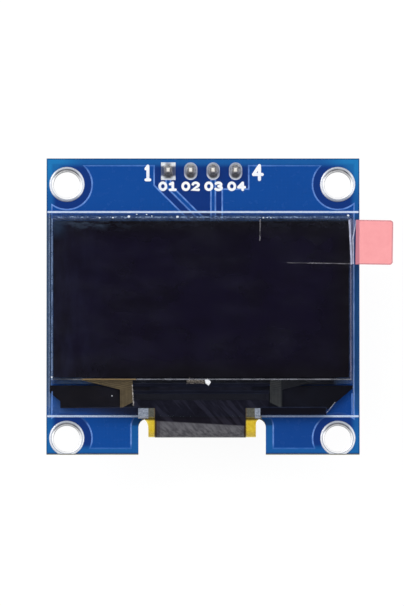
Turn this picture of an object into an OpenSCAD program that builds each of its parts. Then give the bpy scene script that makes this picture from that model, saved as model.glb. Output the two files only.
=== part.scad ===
// Small monochrome OLED display module.
//
// A blue circuit board with four plated mounting holes and a soldered pin header carries
// a glass display. The display's flexible tail runs behind the glass ledge, folds through
// a notch in the board's lower edge and is soldered to the back. A protective film with a
// pull tab still covers the screen.
//
// The origin is the centre of the four mounting holes on the board's back face.
// +X is to the right and +Y is up as the screen is read; +Z points out of the screen.

/* [Board] */
// Half of what the board's width has over the glass's width
board_side = 0.45; // [0.3:0.05:2]
// Thickness of the bare laminate
board_t = 1.6; // [0.8:0.1:2.4]
// Thickness of the copper relief under the solder mask
foil_t = 0.04; // [0.03:0.005:0.08]
// Width of the notch that the flexible tail passes through
notch_w = 14.4; // [13.8:0.1:17]
// Radius of the notch's two inner corners
notch_r = 0.95; // [0.2:0.05:1.2]
// Sideways place of the notch and tail, from the board's centre line
notch_shift = -0.1; // [-0.6:0.05:0.6]

/* [Mounting holes] */
// Diameter of the plated mounting holes
hole_d = 3.0; // [2.5:0.1:3.2]
// Outer diameter of the plated rings
ring_d = 4.0; // [3.7:0.1:4.4]
// Thickness of the plating on hole walls, rings and pads
plating_t = 0.05; // [0.03:0.005:0.08]
// Hole centre to the board's left edge
hole_edge_left = 2.3; // [2.2:0.05:3]
// Hole centre to the board's right edge
hole_edge_right = 2.46; // [2.2:0.05:3]
// Upper hole centres to the board's top edge
hole_edge_top = 2.95; // [2.2:0.05:3.5]
// Lower hole centres to the board's bottom edge, which cuts the rings flat
hole_edge_bottom = 1.75; // [1.7:0.05:3]

/* [Copper] */
// Copper-free border at the board's sides and bottom
pour_margin = 0.62; // [0.3:0.02:1]
// Copper-free border at the board's top edge
pour_margin_top = 0.84; // [0.4:0.02:1.2]
// Copper-free border along the notch
pour_margin_notch = 0.85; // [0.4:0.05:1.2]
// Radius of the copper-free round at each mounting hole
hole_clear_r = 2.87; // [2.5:0.01:3.2]
// Width of the wider tracks
track_w = 0.48; // [0.3:0.02:0.7]
// Width of the finer tracks on the back
fine_track_w = 0.3; // [0.2:0.05:0.4]
// Copper-free gap beside tracks and pads
track_gap = 0.25; // [0.15:0.05:0.35]
// Width of the white printed lines above and below the display
legend_w = 0.22; // [0.1:0.02:0.4]

/* [Header] */
// Number of pins
pin_count = 4; // [2:1:6]
// Distance between neighbouring pins
pin_pitch = 2.54; // [2.54:0.01:2.8]
// Side of the square pins
pin_side = 0.64; // [0.5:0.02:0.7]
// Pin length above the board's front face
pin_front = 1.4; // [1.2:0.1:2.5]
// Pin length below the header body
pin_tail = 6.0; // [3:0.1:12]
// Height of the moulded header body
header_t = 2.54; // [1.5:0.02:3]
// Depth of the moulded header body across the row
header_d = 2.5; // [2:0.1:2.8]
// Row centre to the board's top edge
header_edge = 1.45; // [1.4:0.05:2]
// Sideways place of the row, from the board's centre line
header_shift = -0.12; // [-1:0.02:1]
// Width of the pads
pad_w = 1.5; // [1.3:0.05:1.7]
// Length of the pads
pad_h = 2.0; // [1.7:0.05:2.2]
// Inner diameter of the pads' plated holes
pad_bore = 0.98; // [0.95:0.01:1.1]
// Height of the solder cones above the pads
solder_h = 0.95; // [0.5:0.05:1.1]

/* [Display glass] */
// Width of both glass sheets
glass_w = 34.5; // [32:0.1:36]
// Height of the rear cap glass
cap_h = 19.4; // [17:0.1:23]
// Height of the ledge by which the front glass reaches below the cap glass
ledge_h = 3.6; // [3.2:0.1:4.2]
// Thickness of the front glass
glass_t = 0.5; // [0.3:0.05:1.1]
// Thickness of the rear cap glass
cap_t = 0.7; // [0.5:0.05:1.1]
// Depth of the recess etched into the cap glass
cap_recess = 0.3; // [0.25:0.01:0.4]
// Thickness of the glue seam between the glass sheets
seal_t = 0.05; // [0.04:0.005:0.1]
// Width of the glue seam
seal_w = 1.1; // [0.7:0.05:1.3]
// Thickness of the foam tape that holds the display
tape_t = 0.3; // [0.2:0.05:1]
// Board's top edge to the glass's top edge
glass_edge_top = 6.35; // [6:0.05:7]
// Board's bottom edge to the glass's bottom edge
glass_edge_bottom = 4.15; // [3.8:0.05:5]
// Sideways place of the glass, from the board's centre line
glass_shift = -0.2; // [-0.5:0.05:0.5]
// Border of glass left and right of the light-emitting area
active_margin = 2.54; // [2:0.02:4]
// Border of cap glass above and below the light-emitting area
active_margin_top = 2.35; // [2:0.05:4]
// Thickness of the light-emitting layers
active_t = 0.03; // [0.01:0.005:0.035]

/* [Films] */
// Clear border of glass left and right of the polarizer
polarizer_margin = 0.57; // [0.45:0.01:1]
// Clear border of glass above the polarizer
polarizer_margin_top = 0.92; // [0.6:0.02:1.2]
// Clear border of cap glass below the polarizer
polarizer_margin_bottom = 0.78; // [0.6:0.02:1.2]
// Thickness of the polarizer
polarizer_t = 0.2; // [0.1:0.01:0.3]
// How far the protective film reaches past the polarizer's sides
film_over = 0.3; // [0:0.02:0.4]
// Thickness of the protective film and of the tab
film_t = 0.05; // [0.03:0.005:0.1]
// Length of the pull tab's clear strip on the film
tab_on_film = 10.4; // [6:0.1:14]
// Film's right edge to the coloured grip
grip_gap = 0.52; // [0:0.02:2]
// Length of the coloured grip
grip_len = 4.21; // [3:0.01:8]
// Height of the pull tab
tab_h = 5.05; // [3:0.05:8]
// Radius of the grip's outer corners
grip_r = 0.35; // [0.1:0.05:1]
// Film's top edge to the tab's top edge
tab_drop = 0.22; // [0.1:0.05:1]
// Angle at which the tab was stuck on
tab_angle = -0.9; // [-1.2:0.1:0]

/* [Flexible tail] */
// Thickness of the polyimide
flex_t = 0.1; // [0.05:0.01:0.15]
// Thickness of the black cover layer
cover_t = 0.03; // [0.02:0.005:0.05]
// Width of the neck that folds through the notch
neck_w = 12.15; // [11.6:0.05:12.6]
// Width of the end that is bonded to the glass
bond_w = 15.27; // [14.8:0.05:16]
// Height of the bonded seam
bond_h = 0.75; // [0.5:0.05:0.8]
// Width of the black cover layer on the neck
cover_w = 10.25; // [9.5:0.05:10.8]
// Radius of the flares where the tail widens
flare_r = 0.6; // [0.3:0.05:0.8]
// Length of the soldered end
solder_end_len = 5.6; // [4:0.1:6.5]
// Number of soldered contacts
contact_count = 30; // [20:1:30]
// Distance between neighbouring contacts
contact_pitch = 0.62; // [0.5:0.01:0.62]
// Width of one contact
contact_w = 0.34; // [0.2:0.01:0.4]
// Length of the bare contacts on the tail
contact_len = 1.6; // [1:0.1:2]
// Soldered end beyond the middle of its outermost contacts
contact_margin = 0.61; // [0.55:0.02:1.2]

/* [Driver chip] */
// Width of the driver chip
chip_w = 11.6; // [8:0.1:12.5]
// Height of the driver chip, in the plane of the glass
chip_h = 0.7; // [0.5:0.05:0.75]
// Thickness of the driver chip
chip_t = 0.3; // [0.2:0.01:0.4]

/* [Parts on the back] */
// Length of the chip capacitors and resistors
chip_part_len = 1.6; // [1.2:0.05:1.8]
// Width of the chip capacitors and resistors
chip_part_w = 0.8; // [0.6:0.05:0.9]
// Height of the capacitors
capacitor_t = 0.8; // [0.5:0.05:1]
// Height of the resistors
resistor_t = 0.45; // [0.3:0.05:0.6]
// Length of the metal end caps
end_cap_len = 0.32; // [0.2:0.02:0.4]
// Length of the regulator's body
regulator_len = 2.9; // [2.6:0.1:3.1]
// Width of the regulator's body
regulator_w = 1.3; // [1.2:0.05:1.6]
// Height of the regulator's body
regulator_t = 0.95; // [0.8:0.05:1.2]

/* [Hidden] */
$fn = 48;

// Overshoot that lets a cut pass clean through a face
cut = 1;
// Gap between neighbouring parts that do not touch
part_gap = 0.12;

// Board and hole pattern, from the pattern's centre
glass_h = cap_h + ledge_h;
board_w = glass_w + 2 * board_side;
board_h = glass_edge_top + glass_h + glass_edge_bottom;
hole_dx = board_w - hole_edge_left - hole_edge_right;
hole_dy = board_h - hole_edge_top - hole_edge_bottom;
board_left = -hole_dx / 2 - hole_edge_left;
board_right = board_left + board_w;
board_bottom = -hole_dy / 2 - hole_edge_bottom;
board_top = board_bottom + board_h;
board_mid = (board_left + board_right) / 2;
HOLES = [[-hole_dx, hole_dy], [hole_dx, hole_dy], [-hole_dx, -hole_dy], [hole_dx, -hole_dy]] / 2;

// Levels of the display's layers above the board's back face
front_level = board_t + foil_t;
back_level = -foil_t;
cap_level = front_level + tape_t;
seal_level = cap_level + cap_t;
glass_level = seal_level + seal_t;
polarizer_level = glass_level + glass_t;
film_level = polarizer_level + polarizer_t;
tab_level = film_level + film_t;

// Display outline
glass_mid = board_mid + glass_shift;
glass_top = board_top - glass_edge_top;
glass_bottom = glass_top - glass_h;
cap_bottom = glass_top - cap_h;
active_w = glass_w - 2 * active_margin;
active_h = cap_h - 2 * active_margin_top;
polarizer_w = glass_w - 2 * polarizer_margin;
polarizer_h = cap_h - polarizer_margin_top - polarizer_margin_bottom;
polarizer_top = glass_top - polarizer_margin_top;
polarizer_mid_y = polarizer_top - polarizer_h / 2;
film_w = polarizer_w + 2 * film_over;
film_h = polarizer_h + 2 * film_over;
tape_inset = 0.2;
tape_w = polarizer_w - 2 * tape_inset;
tape_h = polarizer_h - 2 * tape_inset;

// Pull tab, stuck on the film's right end
tab_right = glass_mid + film_w / 2 + grip_gap + grip_len;
tab_len = tab_on_film + grip_gap + grip_len;
tab_top = polarizer_top + film_over - tab_drop;

// Notch and flexible tail
notch_mid = board_mid + notch_shift;
notch_top = glass_bottom - part_gap;
shoulder_y = notch_top - part_gap;
bend_y = shoulder_y - flare_r - part_gap / 4;
flex_face = glass_level - cover_t - part_gap / 6;
flex_level = flex_face - flex_t;
flex_back_face = back_level - flex_t;
bend_r = (flex_face - flex_back_face) / 2;
bend_level = flex_face - bend_r;
chip_top = cap_bottom - part_gap;
bond_top = chip_top - chip_h - part_gap;
ear_overlap = 0.95;
ear_over = [0.55, 0.03];
ear_top = glass_bottom + ear_overlap;
ear_left = neck_w / 2 + flare_r + ear_over[0];
ear_right = neck_w / 2 + flare_r + ear_over[1];
cover_shift = -0.2;
bond_inset = 0.3;
solder_end_w = (contact_count - 1) * contact_pitch + 2 * contact_margin;
end_shoulder_gap = 0.4;
end_shoulder_y = notch_top + flare_r + end_shoulder_gap;
end_top = end_shoulder_y + solder_end_len;
end_cover_top = end_top - contact_len - part_gap;

// Header
header_mid = board_mid + header_shift;
header_y = board_top - header_edge;
function pin_x(i) = header_mid + (i - 1 - (pin_count - 1) / 2) * pin_pitch;

// Copper-free window around the header, from its row down to behind the display
window_side = [1.62, 1.5];
window_drop = [1.6, 2.05];
window_behind = 1;
window_left = pin_x(1) - window_side[0];
window_right = pin_x(pin_count) + window_side[1];
window_step = pin_x(pin_count) - window_side[1];
window_turn_y = header_y - window_drop[0];
window_step_y = header_y - window_drop[1];
window_end_y = glass_top - window_behind;
slant_drop = 1.66;
track_round_over = 0.02;

// White printed lines: from the glass's top and bottom edges, and in from the board's edge
legend_offset = [0.26, 0.1];
legend_inset = 0.1;
ink_t = 0.02;

// Sizes that follow from the pads and pins
pad_rim = 0.06;
square_pad_over = 0.15;
solder_r = pad_w / 2 - pad_rim;
header_level = -max(foil_t, plating_t);
pin_top = board_t + pin_front;
pin_bottom = header_level - header_t - pin_tail;
pin_taper = [0.15, 0.3];
segment_chamfer = 0.45;

// Glass details
cap_mid_y = glass_top - cap_h / 2;
seal_inset = 0.1;
recess_inset = seal_inset + seal_w + 0.4;
desiccant_t = 0.2;
desiccant_inset = recess_inset + 0.6;
active_border = 0.3;
shade_t = 0.06;
shade_level = glass_level - chip_t;
shade_top = cap_bottom - part_gap / 2;
shade_bottom = glass_bottom + 0.6;
shade_half_w = glass_w / 2 - part_gap;
shade_side_h = 0.34;
shade_cut = [3.1, shade_top - shade_bottom - shade_side_h];
shade_left_cut = [1.2, 1.0];
shade_left_side_h = 0.8;
shade_left_rise = 0.35;

// Track fields on the ledge: a strip beside the chip, and the wedge that it widens into
fanout_t = 0.02;
fanout_w = 1.42;
fanout_wedge = 4.5;
fanout_rise = 0.55;
fanout_foot = [1.05, 1.8];

// Soldered contacts and the rows of parts beyond them
function contact_x(i) = notch_mid + (i - (contact_count + 1) / 2) * contact_pitch;
land_len = 0.7;
lands_top = end_top + land_len;
bead_t = 0.08;
bead_slope = 0.3;
row_rise = 3.5;
row_drop = 4.6;
lower_row_y = lands_top + row_rise;
upper_row_y = header_y - row_drop;

// Parts on the back: [middle x, middle y, angle of the part's length]
part_pitch = 2.8;
outer_part_dx = solder_end_w / 2 - part_pitch / 2;
inner_part_dx = 1.7;
side_part_dx = 6.4;
spare_drop = 2;
regulator_dx = 4.7;
regulator_drop = 7.4;
regulator_side_dx = 2.25;
regulator_rise = 5;
REGULATOR = [pin_x(1) - regulator_dx, header_y - regulator_drop];
CAPACITORS = [
    [REGULATOR.x - regulator_side_dx, REGULATOR.y + regulator_rise, 90],
    [REGULATOR.x + regulator_side_dx, upper_row_y, 90],
    [notch_mid - outer_part_dx, lower_row_y, 90],
    [notch_mid - outer_part_dx + part_pitch, lower_row_y, 90],
    [notch_mid + outer_part_dx - part_pitch, lower_row_y, 90],
    [notch_mid + outer_part_dx, lower_row_y, 90]
];
RESISTORS = [
    [pin_x(pin_count - 1), upper_row_y, 90],
    [pin_x(pin_count), upper_row_y, 90],
    [pin_x(pin_count) + side_part_dx, upper_row_y, 0],
    [notch_mid - inner_part_dx, lower_row_y, 90],
    [notch_mid + inner_part_dx, lower_row_y, 90]
];
SPARE_LANDS = [pin_x(pin_count) + side_part_dx, upper_row_y - spare_drop, 0];
lead_dx = 0.95;
LEADS = [[-lead_dx, -1], [lead_dx, -1], [0, 1]];
lead_w = 0.42;
lead_t = 0.13;
lead_len = 0.55;
lead_bend_len = 0.2;
body_lift_h = 0.05;
land_over = 0.25;
land_over_w = 0.05;
lead_land_over = [0.3, 0.2];
regulator_slope_w = 0.08;
track_end_len = 0.2;
end_cap_mid = (chip_part_len - end_cap_len) / 2;

// Middle of one of a chip part's two lands; side is -1 or 1
function land_at(part, side) =
    [part.x, part.y] + side * end_cap_mid * [cos(part.z), sin(part.z)];
function lead_at(i) =
    REGULATOR + [LEADS[i].x, LEADS[i].y * (regulator_w / 2 + (lead_bend_len + lead_len) / 2)];
function contact_at(i) = [contact_x(i), lands_top - track_end_len];

// Tracks on the back, each a line through its corner points
bus_rise = 4.32;
bus_y = lower_row_y + bus_rise;
riser_dx = 3.6;
track_jog = 1.2;
riser_foot_h = 1;
riser_foot_y = lands_top + riser_foot_h;
BACK_TRACKS = [
    [[pin_x(1), header_y], [pin_x(1), header_y - row_drop / 2], land_at(CAPACITORS[1], 1)],
    [land_at(CAPACITORS[1], -1), lead_at(2) + [track_jog, track_jog / 2], lead_at(2)],
    [land_at(CAPACITORS[0], -1), lead_at(2) + [-track_jog, track_jog], lead_at(2)],
    [lead_at(0), [CAPACITORS[2].x, bus_y], land_at(CAPACITORS[2], 1)],
    [lead_at(1), [CAPACITORS[3].x, bus_y], land_at(CAPACITORS[3], 1)],
    [[pin_x(pin_count - 1), header_y], land_at(RESISTORS[0], 1)],
    [[pin_x(pin_count), header_y], land_at(RESISTORS[1], 1)],
    [land_at(RESISTORS[0], 1), [notch_mid, upper_row_y - end_cap_mid],
     [notch_mid, riser_foot_y], contact_at(contact_count / 2)],
    [land_at(RESISTORS[1], 1), [pin_x(pin_count) + track_jog, upper_row_y - end_cap_mid],
     [notch_mid + riser_dx, bus_y], [notch_mid + riser_dx, riser_foot_y],
     contact_at(contact_count / 2 + 6)],
    [land_at(CAPACITORS[2], -1), contact_at(contact_count / 2 - 12)],
    [land_at(CAPACITORS[3], -1), contact_at(contact_count / 2 - 8)],
    [land_at(RESISTORS[3], -1), contact_at(contact_count / 2 - 2)],
    [land_at(RESISTORS[4], -1), contact_at(contact_count / 2 + 3)],
    [land_at(CAPACITORS[4], -1), contact_at(contact_count / 2 + 9)],
    [land_at(CAPACITORS[5], -1), contact_at(contact_count / 2 + 13)]
];

// ---- Shared shapes ----

// Rectangle given by its middle and size
module block2d(mid, size) {
    translate(mid) square(size, center = true);
}

// Rectangle between two corners
module span2d(low, high) {
    translate(low) square(high - low);
}

// The concave corner of a strip that widens: side is -1 or 1, and the strip lies below
module flare2d(corner, side) {
    translate(corner) difference() {
        span2d([min(0, side * flare_r), -flare_r], [max(0, side * flare_r), 0]);
        translate([side * flare_r, -flare_r]) circle(flare_r);
    }
}

// Line through the given points; its round ends and corners are a little wider, so that
// they cross the straight sides instead of touching them
module track2d(points, w) {
    for (p = points) translate(p) circle(d = w + track_round_over, $fn = 24);
    for (i = [1:len(points) - 1]) {
        step = points[i] - points[i - 1];
        translate(points[i - 1]) rotate(atan2(step.y, step.x))
            translate([0, -w / 2]) square([norm(step), w]);
    }
}

// A flat layer between two levels
module layer(low, high) {
    translate([0, 0, low]) linear_extrude(high - low) children();
}

// Profile drawn in Y and Z, made w wide along X about x
module across_x(x, w) {
    translate([x - w / 2, 0, 0]) rotate([90, 0, 90]) linear_extrude(w) children();
}

// Half a round bend, open towards +Y, about the tail's folding axis
module half_bend(x, w, r_out, r_in) {
    across_x(x, w) translate([bend_y, bend_level]) difference() {
        circle(r_out, $fn = 96);
        circle(r_in, $fn = 96);
        span2d([0, -r_out - cut], [r_out + cut, r_out + cut]);
    }
}

// ---- Board ----

// The notch in the board's lower edge, grown on its three sides
module notch2d(grow) {
    r = notch_r + grow;
    low = [notch_mid - notch_w / 2 - grow, board_bottom - cut];
    high = [notch_mid + notch_w / 2 + grow, notch_top + grow];
    span2d(low, [high.x, high.y - r]);
    span2d([low.x + r, low.y], [high.x - r, high.y]);
    for (x = [low.x + r, high.x - r]) translate([x, high.y - r]) circle(r);
}

// The board's outline, with borders taken off its sides, top and notch
module outline2d(side, top, notch) {
    difference() {
        span2d([board_left + side, board_bottom + side], [board_right - side, board_top - top]);
        notch2d(notch);
    }
}

module circuit_board() {
    color([0.02, 0.17, 0.45]) layer(0, board_t) difference() {
        outline2d(0, 0, 0);
        for (h = HOLES) translate(h) circle(d = hole_d + 2 * plating_t);
        for (i = [1:pin_count]) translate([pin_x(i), header_y])
            circle(d = pad_bore + 2 * plating_t);
    }
}

// Copper area shared by both faces, clear of the mounting holes
module pour2d() {
    difference() {
        outline2d(pour_margin, pour_margin_top, pour_margin_notch);
        for (h = HOLES) translate(h) circle(hole_clear_r);
    }
}

// Copper-free window from the header row to behind the display
module header_window2d() {
    polygon([
        [window_left, board_top + cut], [window_left, window_turn_y],
        [window_left + window_turn_y - window_end_y, window_end_y],
        [window_step, window_end_y], [window_step, window_step_y],
        [window_right, window_step_y], [window_right, board_top + cut]
    ]);
}

module front_copper() {
    slant_top = header_y - slant_drop;
    slant_end = window_end_y + track_w;
    color([0.09, 0.3, 0.62]) layer(board_t, board_t + foil_t) difference() {
        union() {
            difference() {
                pour2d();
                header_window2d();
            }
            track2d([[pin_x(1), header_y], [pin_x(1), slant_top],
                     [pin_x(1) + slant_top - slant_end, slant_end]], track_w);
            track2d([[pin_x(pin_count - 1), header_y], [pin_x(pin_count - 1), slant_end]], track_w);
        }
        for (i = [1:pin_count]) translate([pin_x(i), header_y]) pad2d(i);
    }
}

module back_copper() {
    color([0.09, 0.3, 0.62]) layer(back_level, 0) difference() {
        union() {
            difference() {
                pour2d();
                for (t = BACK_TRACKS) track2d(t, fine_track_w + 2 * track_gap);
                for (i = [1:pin_count]) translate([pin_x(i), header_y])
                    circle(pad_h / 2 + track_gap);
                lands2d(track_gap);
                contact_window2d(track_gap);
            }
            for (t = BACK_TRACKS) track2d(t, fine_track_w);
        }
        for (i = [1:pin_count]) translate([pin_x(i), header_y]) pad2d(i);
        lands2d(0);
        contact_lands2d();
    }
}

// The two printed lines that mark the display's place; the notch interrupts the lower one
module front_legend() {
    upper_y = glass_top + legend_offset[0];
    lower_y = glass_bottom + legend_offset[1];
    color("white") difference() {
        layer(board_t, front_level + ink_t) intersection() {
            outline2d(legend_inset, legend_inset, 0);
            union() {
                span2d([board_left, upper_y - legend_w / 2], [board_right, upper_y + legend_w / 2]);
                difference() {
                    span2d([board_left, lower_y - legend_w / 2],
                           [board_right, lower_y + legend_w / 2]);
                    span2d([notch_mid - notch_w / 2, lower_y - cut],
                           [notch_mid + ear_right, lower_y + cut]);
                }
            }
        }
        front_copper();
    }
}

// Plated hole wall with a ring on each face, cut flat where the board ends
module mounting_ring(i) {
    color("silver") intersection() {
        translate(HOLES[i - 1]) rotate_extrude() difference() {
            span2d([hole_d / 2, -plating_t], [ring_d / 2, board_t + plating_t]);
            span2d([hole_d / 2 + plating_t, 0], [ring_d / 2 + cut, board_t]);
        }
        layer(-cut, board_t + cut) outline2d(0, 0, 0);
    }
}

// ---- Header ----

// Outline of pad i: the first is rectangular, the others have round ends
module pad2d(i) {
    if (i == 1) {
        square([pad_w + square_pad_over, pad_h], center = true);
    } else {
        square([pad_w, pad_h - pad_w], center = true);
        for (y = [-1, 1]) translate([0, y * (pad_h - pad_w) / 2]) circle(d = pad_w);
    }
}

module header_pad(i) {
    color("silver") translate([pin_x(i), header_y, 0]) difference() {
        union() {
            layer(board_t, board_t + plating_t) pad2d(i);
            layer(-plating_t, 0) pad2d(i);
            cylinder(h = board_t, d = pad_bore + 2 * plating_t);
        }
        translate([0, 0, -cut]) cylinder(h = board_t + 2 * cut, d = pad_bore);
    }
}

// Solder that fills the hole and climbs the pin in a hollow cone
module header_solder(i) {
    face = board_t + plating_t;
    tip_r = pin_side * 0.75;
    color([0.75, 0.75, 0.77]) translate([pin_x(i), header_y, 0]) difference() {
        rotate_extrude() polygon(concat(
            [[0, -plating_t], [pad_bore / 2, -plating_t], [pad_bore / 2, face]],
            [for (a = [0:15:90])
                [solder_r - (solder_r - tip_r) * sin(a), face + solder_h * (1 - cos(a))]],
            [[0, face + solder_h]]
        ));
        layer(-cut, face + solder_h + cut) square(pin_side, center = true);
    }
}

// Side view of a pin with tapered ends
module pin2d() {
    half = pin_side / 2;
    polygon([
        [-half, pin_bottom + pin_taper.y], [pin_taper.x - half, pin_bottom],
        [half - pin_taper.x, pin_bottom], [half, pin_bottom + pin_taper.y],
        [half, pin_top - pin_taper.y], [half - pin_taper.x, pin_top],
        [pin_taper.x - half, pin_top], [-half, pin_top - pin_taper.y]
    ]);
}

module header_pin(i) {
    color([0.85, 0.7, 0.35]) translate([pin_x(i), header_y, 0]) intersection() {
        across_x(0, pin_side) pin2d();
        rotate(90) across_x(0, pin_side) pin2d();
    }
}

module header_body() {
    half = [pin_pitch, header_d] / 2;
    c = segment_chamfer;
    color([0.1, 0.1, 0.1]) layer(header_level - header_t, header_level)
        for (i = [1:pin_count]) translate([pin_x(i), header_y]) difference() {
            polygon([
                [-half.x, c - half.y], [c - half.x, -half.y], [half.x - c, -half.y],
                [half.x, c - half.y], [half.x, half.y - c], [half.x - c, half.y],
                [c - half.x, half.y], [-half.x, half.y - c]
            ]);
            square(pin_side, center = true);
        }
}

// ---- Display ----

module mounting_tape() {
    color([0.15, 0.15, 0.16]) layer(front_level, cap_level)
        block2d([glass_mid, polarizer_mid_y], [tape_w, tape_h]);
}

// Rectangle of the cap glass, smaller by an inset on every side
module cap2d(inset) {
    block2d([glass_mid, cap_mid_y], [glass_w - 2 * inset, cap_h - 2 * inset]);
}

module cap_glass() {
    color([0.6, 0.8, 0.85, 0.4]) difference() {
        layer(cap_level, seal_level) cap2d(0);
        layer(seal_level - cap_recess, seal_level + cut) cap2d(recess_inset);
    }
}

module desiccant_sheet() {
    floor_level = seal_level - cap_recess;
    color([0.9, 0.9, 0.85]) layer(floor_level, floor_level + desiccant_t) cap2d(desiccant_inset);
}

module seal_frame() {
    color([0.75, 0.75, 0.7, 0.6]) difference() {
        layer(seal_level, glass_level) difference() {
            cap2d(seal_inset);
            cap2d(seal_inset + seal_w);
        }
        for (side = [-1, 1]) fanout(side);
    }
}

module emitting_layer() {
    color([0.12, 0.12, 0.16]) layer(glass_level - active_t, glass_level)
        block2d([glass_mid, cap_mid_y], [active_w, active_h] + 2 * [active_border, active_border]);
}

module front_glass() {
    color([0.6, 0.8, 0.85, 0.4]) layer(glass_level, polarizer_level)
        block2d([glass_mid, glass_top - glass_h / 2], [glass_w, glass_h]);
}

module polarizer() {
    color([0.08, 0.08, 0.11]) layer(polarizer_level, film_level)
        block2d([glass_mid, polarizer_mid_y], [polarizer_w, polarizer_h]);
}

// Black sheet behind the ledge: its right corner is cut off at a slant, and its left part is
// shorter, with a small slant above a straight end
module ledge_shade() {
    w = shade_half_w;
    left_bottom = shade_bottom + shade_left_rise;
    left_shoulder = shade_top - shade_left_side_h;
    color([0.05, 0.05, 0.06]) layer(shade_level - shade_t, shade_level)
        translate([glass_mid, 0]) polygon([
            [-w, shade_top], [w, shade_top], [w, shade_bottom + shade_cut.y],
            [w - shade_cut.x, shade_bottom], [0, shade_bottom], [0, left_bottom],
            [shade_left_cut.x - w, left_bottom],
            [shade_left_cut.x - w, left_shoulder - shade_left_cut.y], [-w, left_shoulder]
        ]);
}

// Metal tracks on the back of the ledge, seen as one bright field: a wedge along the
// polarizer and a strip down beside the chip
module fanout(side) {
    inner = bond_w / 2 + part_gap;
    outer = inner + fanout_w;
    top = cap_bottom + fanout_rise;
    layer(glass_level - fanout_t, glass_level) translate([glass_mid, 0]) polygon([
        [side * inner, top], [side * (outer + fanout_wedge), top],
        [side * outer, cap_bottom - fanout_rise],
        [side * outer, bond_top - fanout_foot[1]], [side * inner, bond_top - fanout_foot[0]]
    ]);
}

module left_fanout() {
    color([0.5, 0.42, 0.28]) fanout(-1);
}

module right_fanout() {
    color([0.3, 0.3, 0.3]) fanout(1);
}

module driver_chip() {
    color([0.2, 0.2, 0.22]) layer(glass_level - chip_t, glass_level)
        block2d([glass_mid, chip_top - chip_h / 2], [chip_w, chip_h]);
}

// ---- Films ----

module protective_film() {
    color([0.8, 0.85, 0.9, 0.3]) layer(film_level, tab_level)
        block2d([glass_mid, polarizer_mid_y], [film_w, film_h]);
}

// Strip of the pull tab from a distance behind its outer end, with round outer corners
module tab2d(len) {
    translate([tab_right, tab_top]) rotate(tab_angle) {
        span2d([-len, -tab_h], [-grip_r, 0]);
        span2d([-grip_r, grip_r - tab_h], [0, -grip_r]);
        for (y = [-grip_r, grip_r - tab_h]) translate([-grip_r, y]) circle(grip_r);
    }
}

module pull_tab() {
    color([0.9, 0.9, 0.92, 0.4]) layer(tab_level, tab_level + film_t) tab2d(tab_len);
}

module tab_grip() {
    color([1, 0.55, 0.58, 0.8]) layer(tab_level + film_t, tab_level + 2 * film_t) tab2d(grip_len);
}

// ---- Flexible tail ----

// The front part: bonded end, ears behind the glass edge, and neck
module flex_front2d() {
    half = neck_w / 2;
    span2d([glass_mid - bond_w / 2, ear_top], [glass_mid + bond_w / 2, bond_top]);
    span2d([notch_mid - ear_left, shoulder_y], [notch_mid + ear_right, ear_top]);
    span2d([notch_mid - half, bend_y], [notch_mid + half, shoulder_y]);
    for (side = [-1, 1]) flare2d([notch_mid + side * half, shoulder_y], side);
}

// The back part: neck on the board and the wide soldered end
module flex_back2d() {
    half = neck_w / 2;
    span2d([notch_mid - half, bend_y], [notch_mid + half, end_shoulder_y]);
    span2d([notch_mid - solder_end_w / 2, end_shoulder_y], [notch_mid + solder_end_w / 2, end_top]);
    for (side = [-1, 1]) flare2d([notch_mid + side * half, end_shoulder_y], side);
}

module display_flex() {
    color([0.85, 0.62, 0.1]) {
        layer(flex_level, flex_face) flex_front2d();
        half_bend(notch_mid, neck_w, bend_r, bend_r - flex_t);
        layer(flex_back_face, back_level) flex_back2d();
    }
}

module flex_cover() {
    mid = notch_mid + cover_shift;
    half = cover_w / 2;
    inset = 0.4;
    color([0.06, 0.06, 0.08]) {
        layer(flex_face, flex_face + cover_t) {
            span2d([glass_mid - bond_w / 2, ear_top],
                   [glass_mid + bond_w / 2, bond_top - bond_h - part_gap / 2]);
            span2d([mid - half, bend_y], [mid + half, ear_top]);
        }
        half_bend(mid, cover_w, bend_r + cover_t, bend_r);
        layer(flex_back_face - cover_t, flex_back_face) {
            span2d([mid - half, bend_y], [mid + half, end_shoulder_y + inset]);
            span2d([notch_mid + inset - solder_end_w / 2, end_shoulder_y + inset],
                   [notch_mid + solder_end_w / 2 - inset, end_cover_top]);
        }
    }
}

// Seam of conductive glue between the tail's contacts and the glass
module flex_bond() {
    color([0.1, 0.09, 0.09]) layer(flex_face, glass_level)
        block2d([glass_mid, bond_top - bond_h / 2], [bond_w - 2 * bond_inset, bond_h]);
}

// Tinned squares on the tail's ears, beside the cover layer
module flex_ear_pads() {
    inset = 0.02;
    color("silver") layer(flex_face, flex_face + cover_t) {
        span2d([notch_mid - ear_left, shoulder_y + inset],
               [notch_mid - neck_w / 2, ear_top - inset]);
        span2d([notch_mid + neck_w / 2 - part_gap, shoulder_y + inset],
               [notch_mid + ear_right - part_gap, ear_top - inset]);
    }
}

// One solder bead for each contact, from the tail over its end to the board
module flex_solder() {
    start = end_top - contact_len;
    peak = flex_back_face - bead_t;
    color([0.78, 0.78, 0.8]) for (i = [1:contact_count])
        across_x(contact_x(i), contact_w) polygon([
            [start, flex_back_face], [start + bead_slope, peak], [end_top + bead_slope / 3, peak],
            [lands_top, back_level - bead_t / 4], [lands_top, back_level],
            [end_top, back_level], [end_top, flex_back_face]
        ]);
}

// ---- Parts on the back ----

// The two lands of a chip part, grown by a gap
module land_pair2d(part, grow) {
    translate([part.x, part.y]) rotate(part.z) for (side = [-1, 1])
        block2d([side * (end_cap_mid + land_over / 2), 0],
                [end_cap_len + land_over, chip_part_w] + 2 * [grow, grow + land_over_w]);
}

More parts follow.
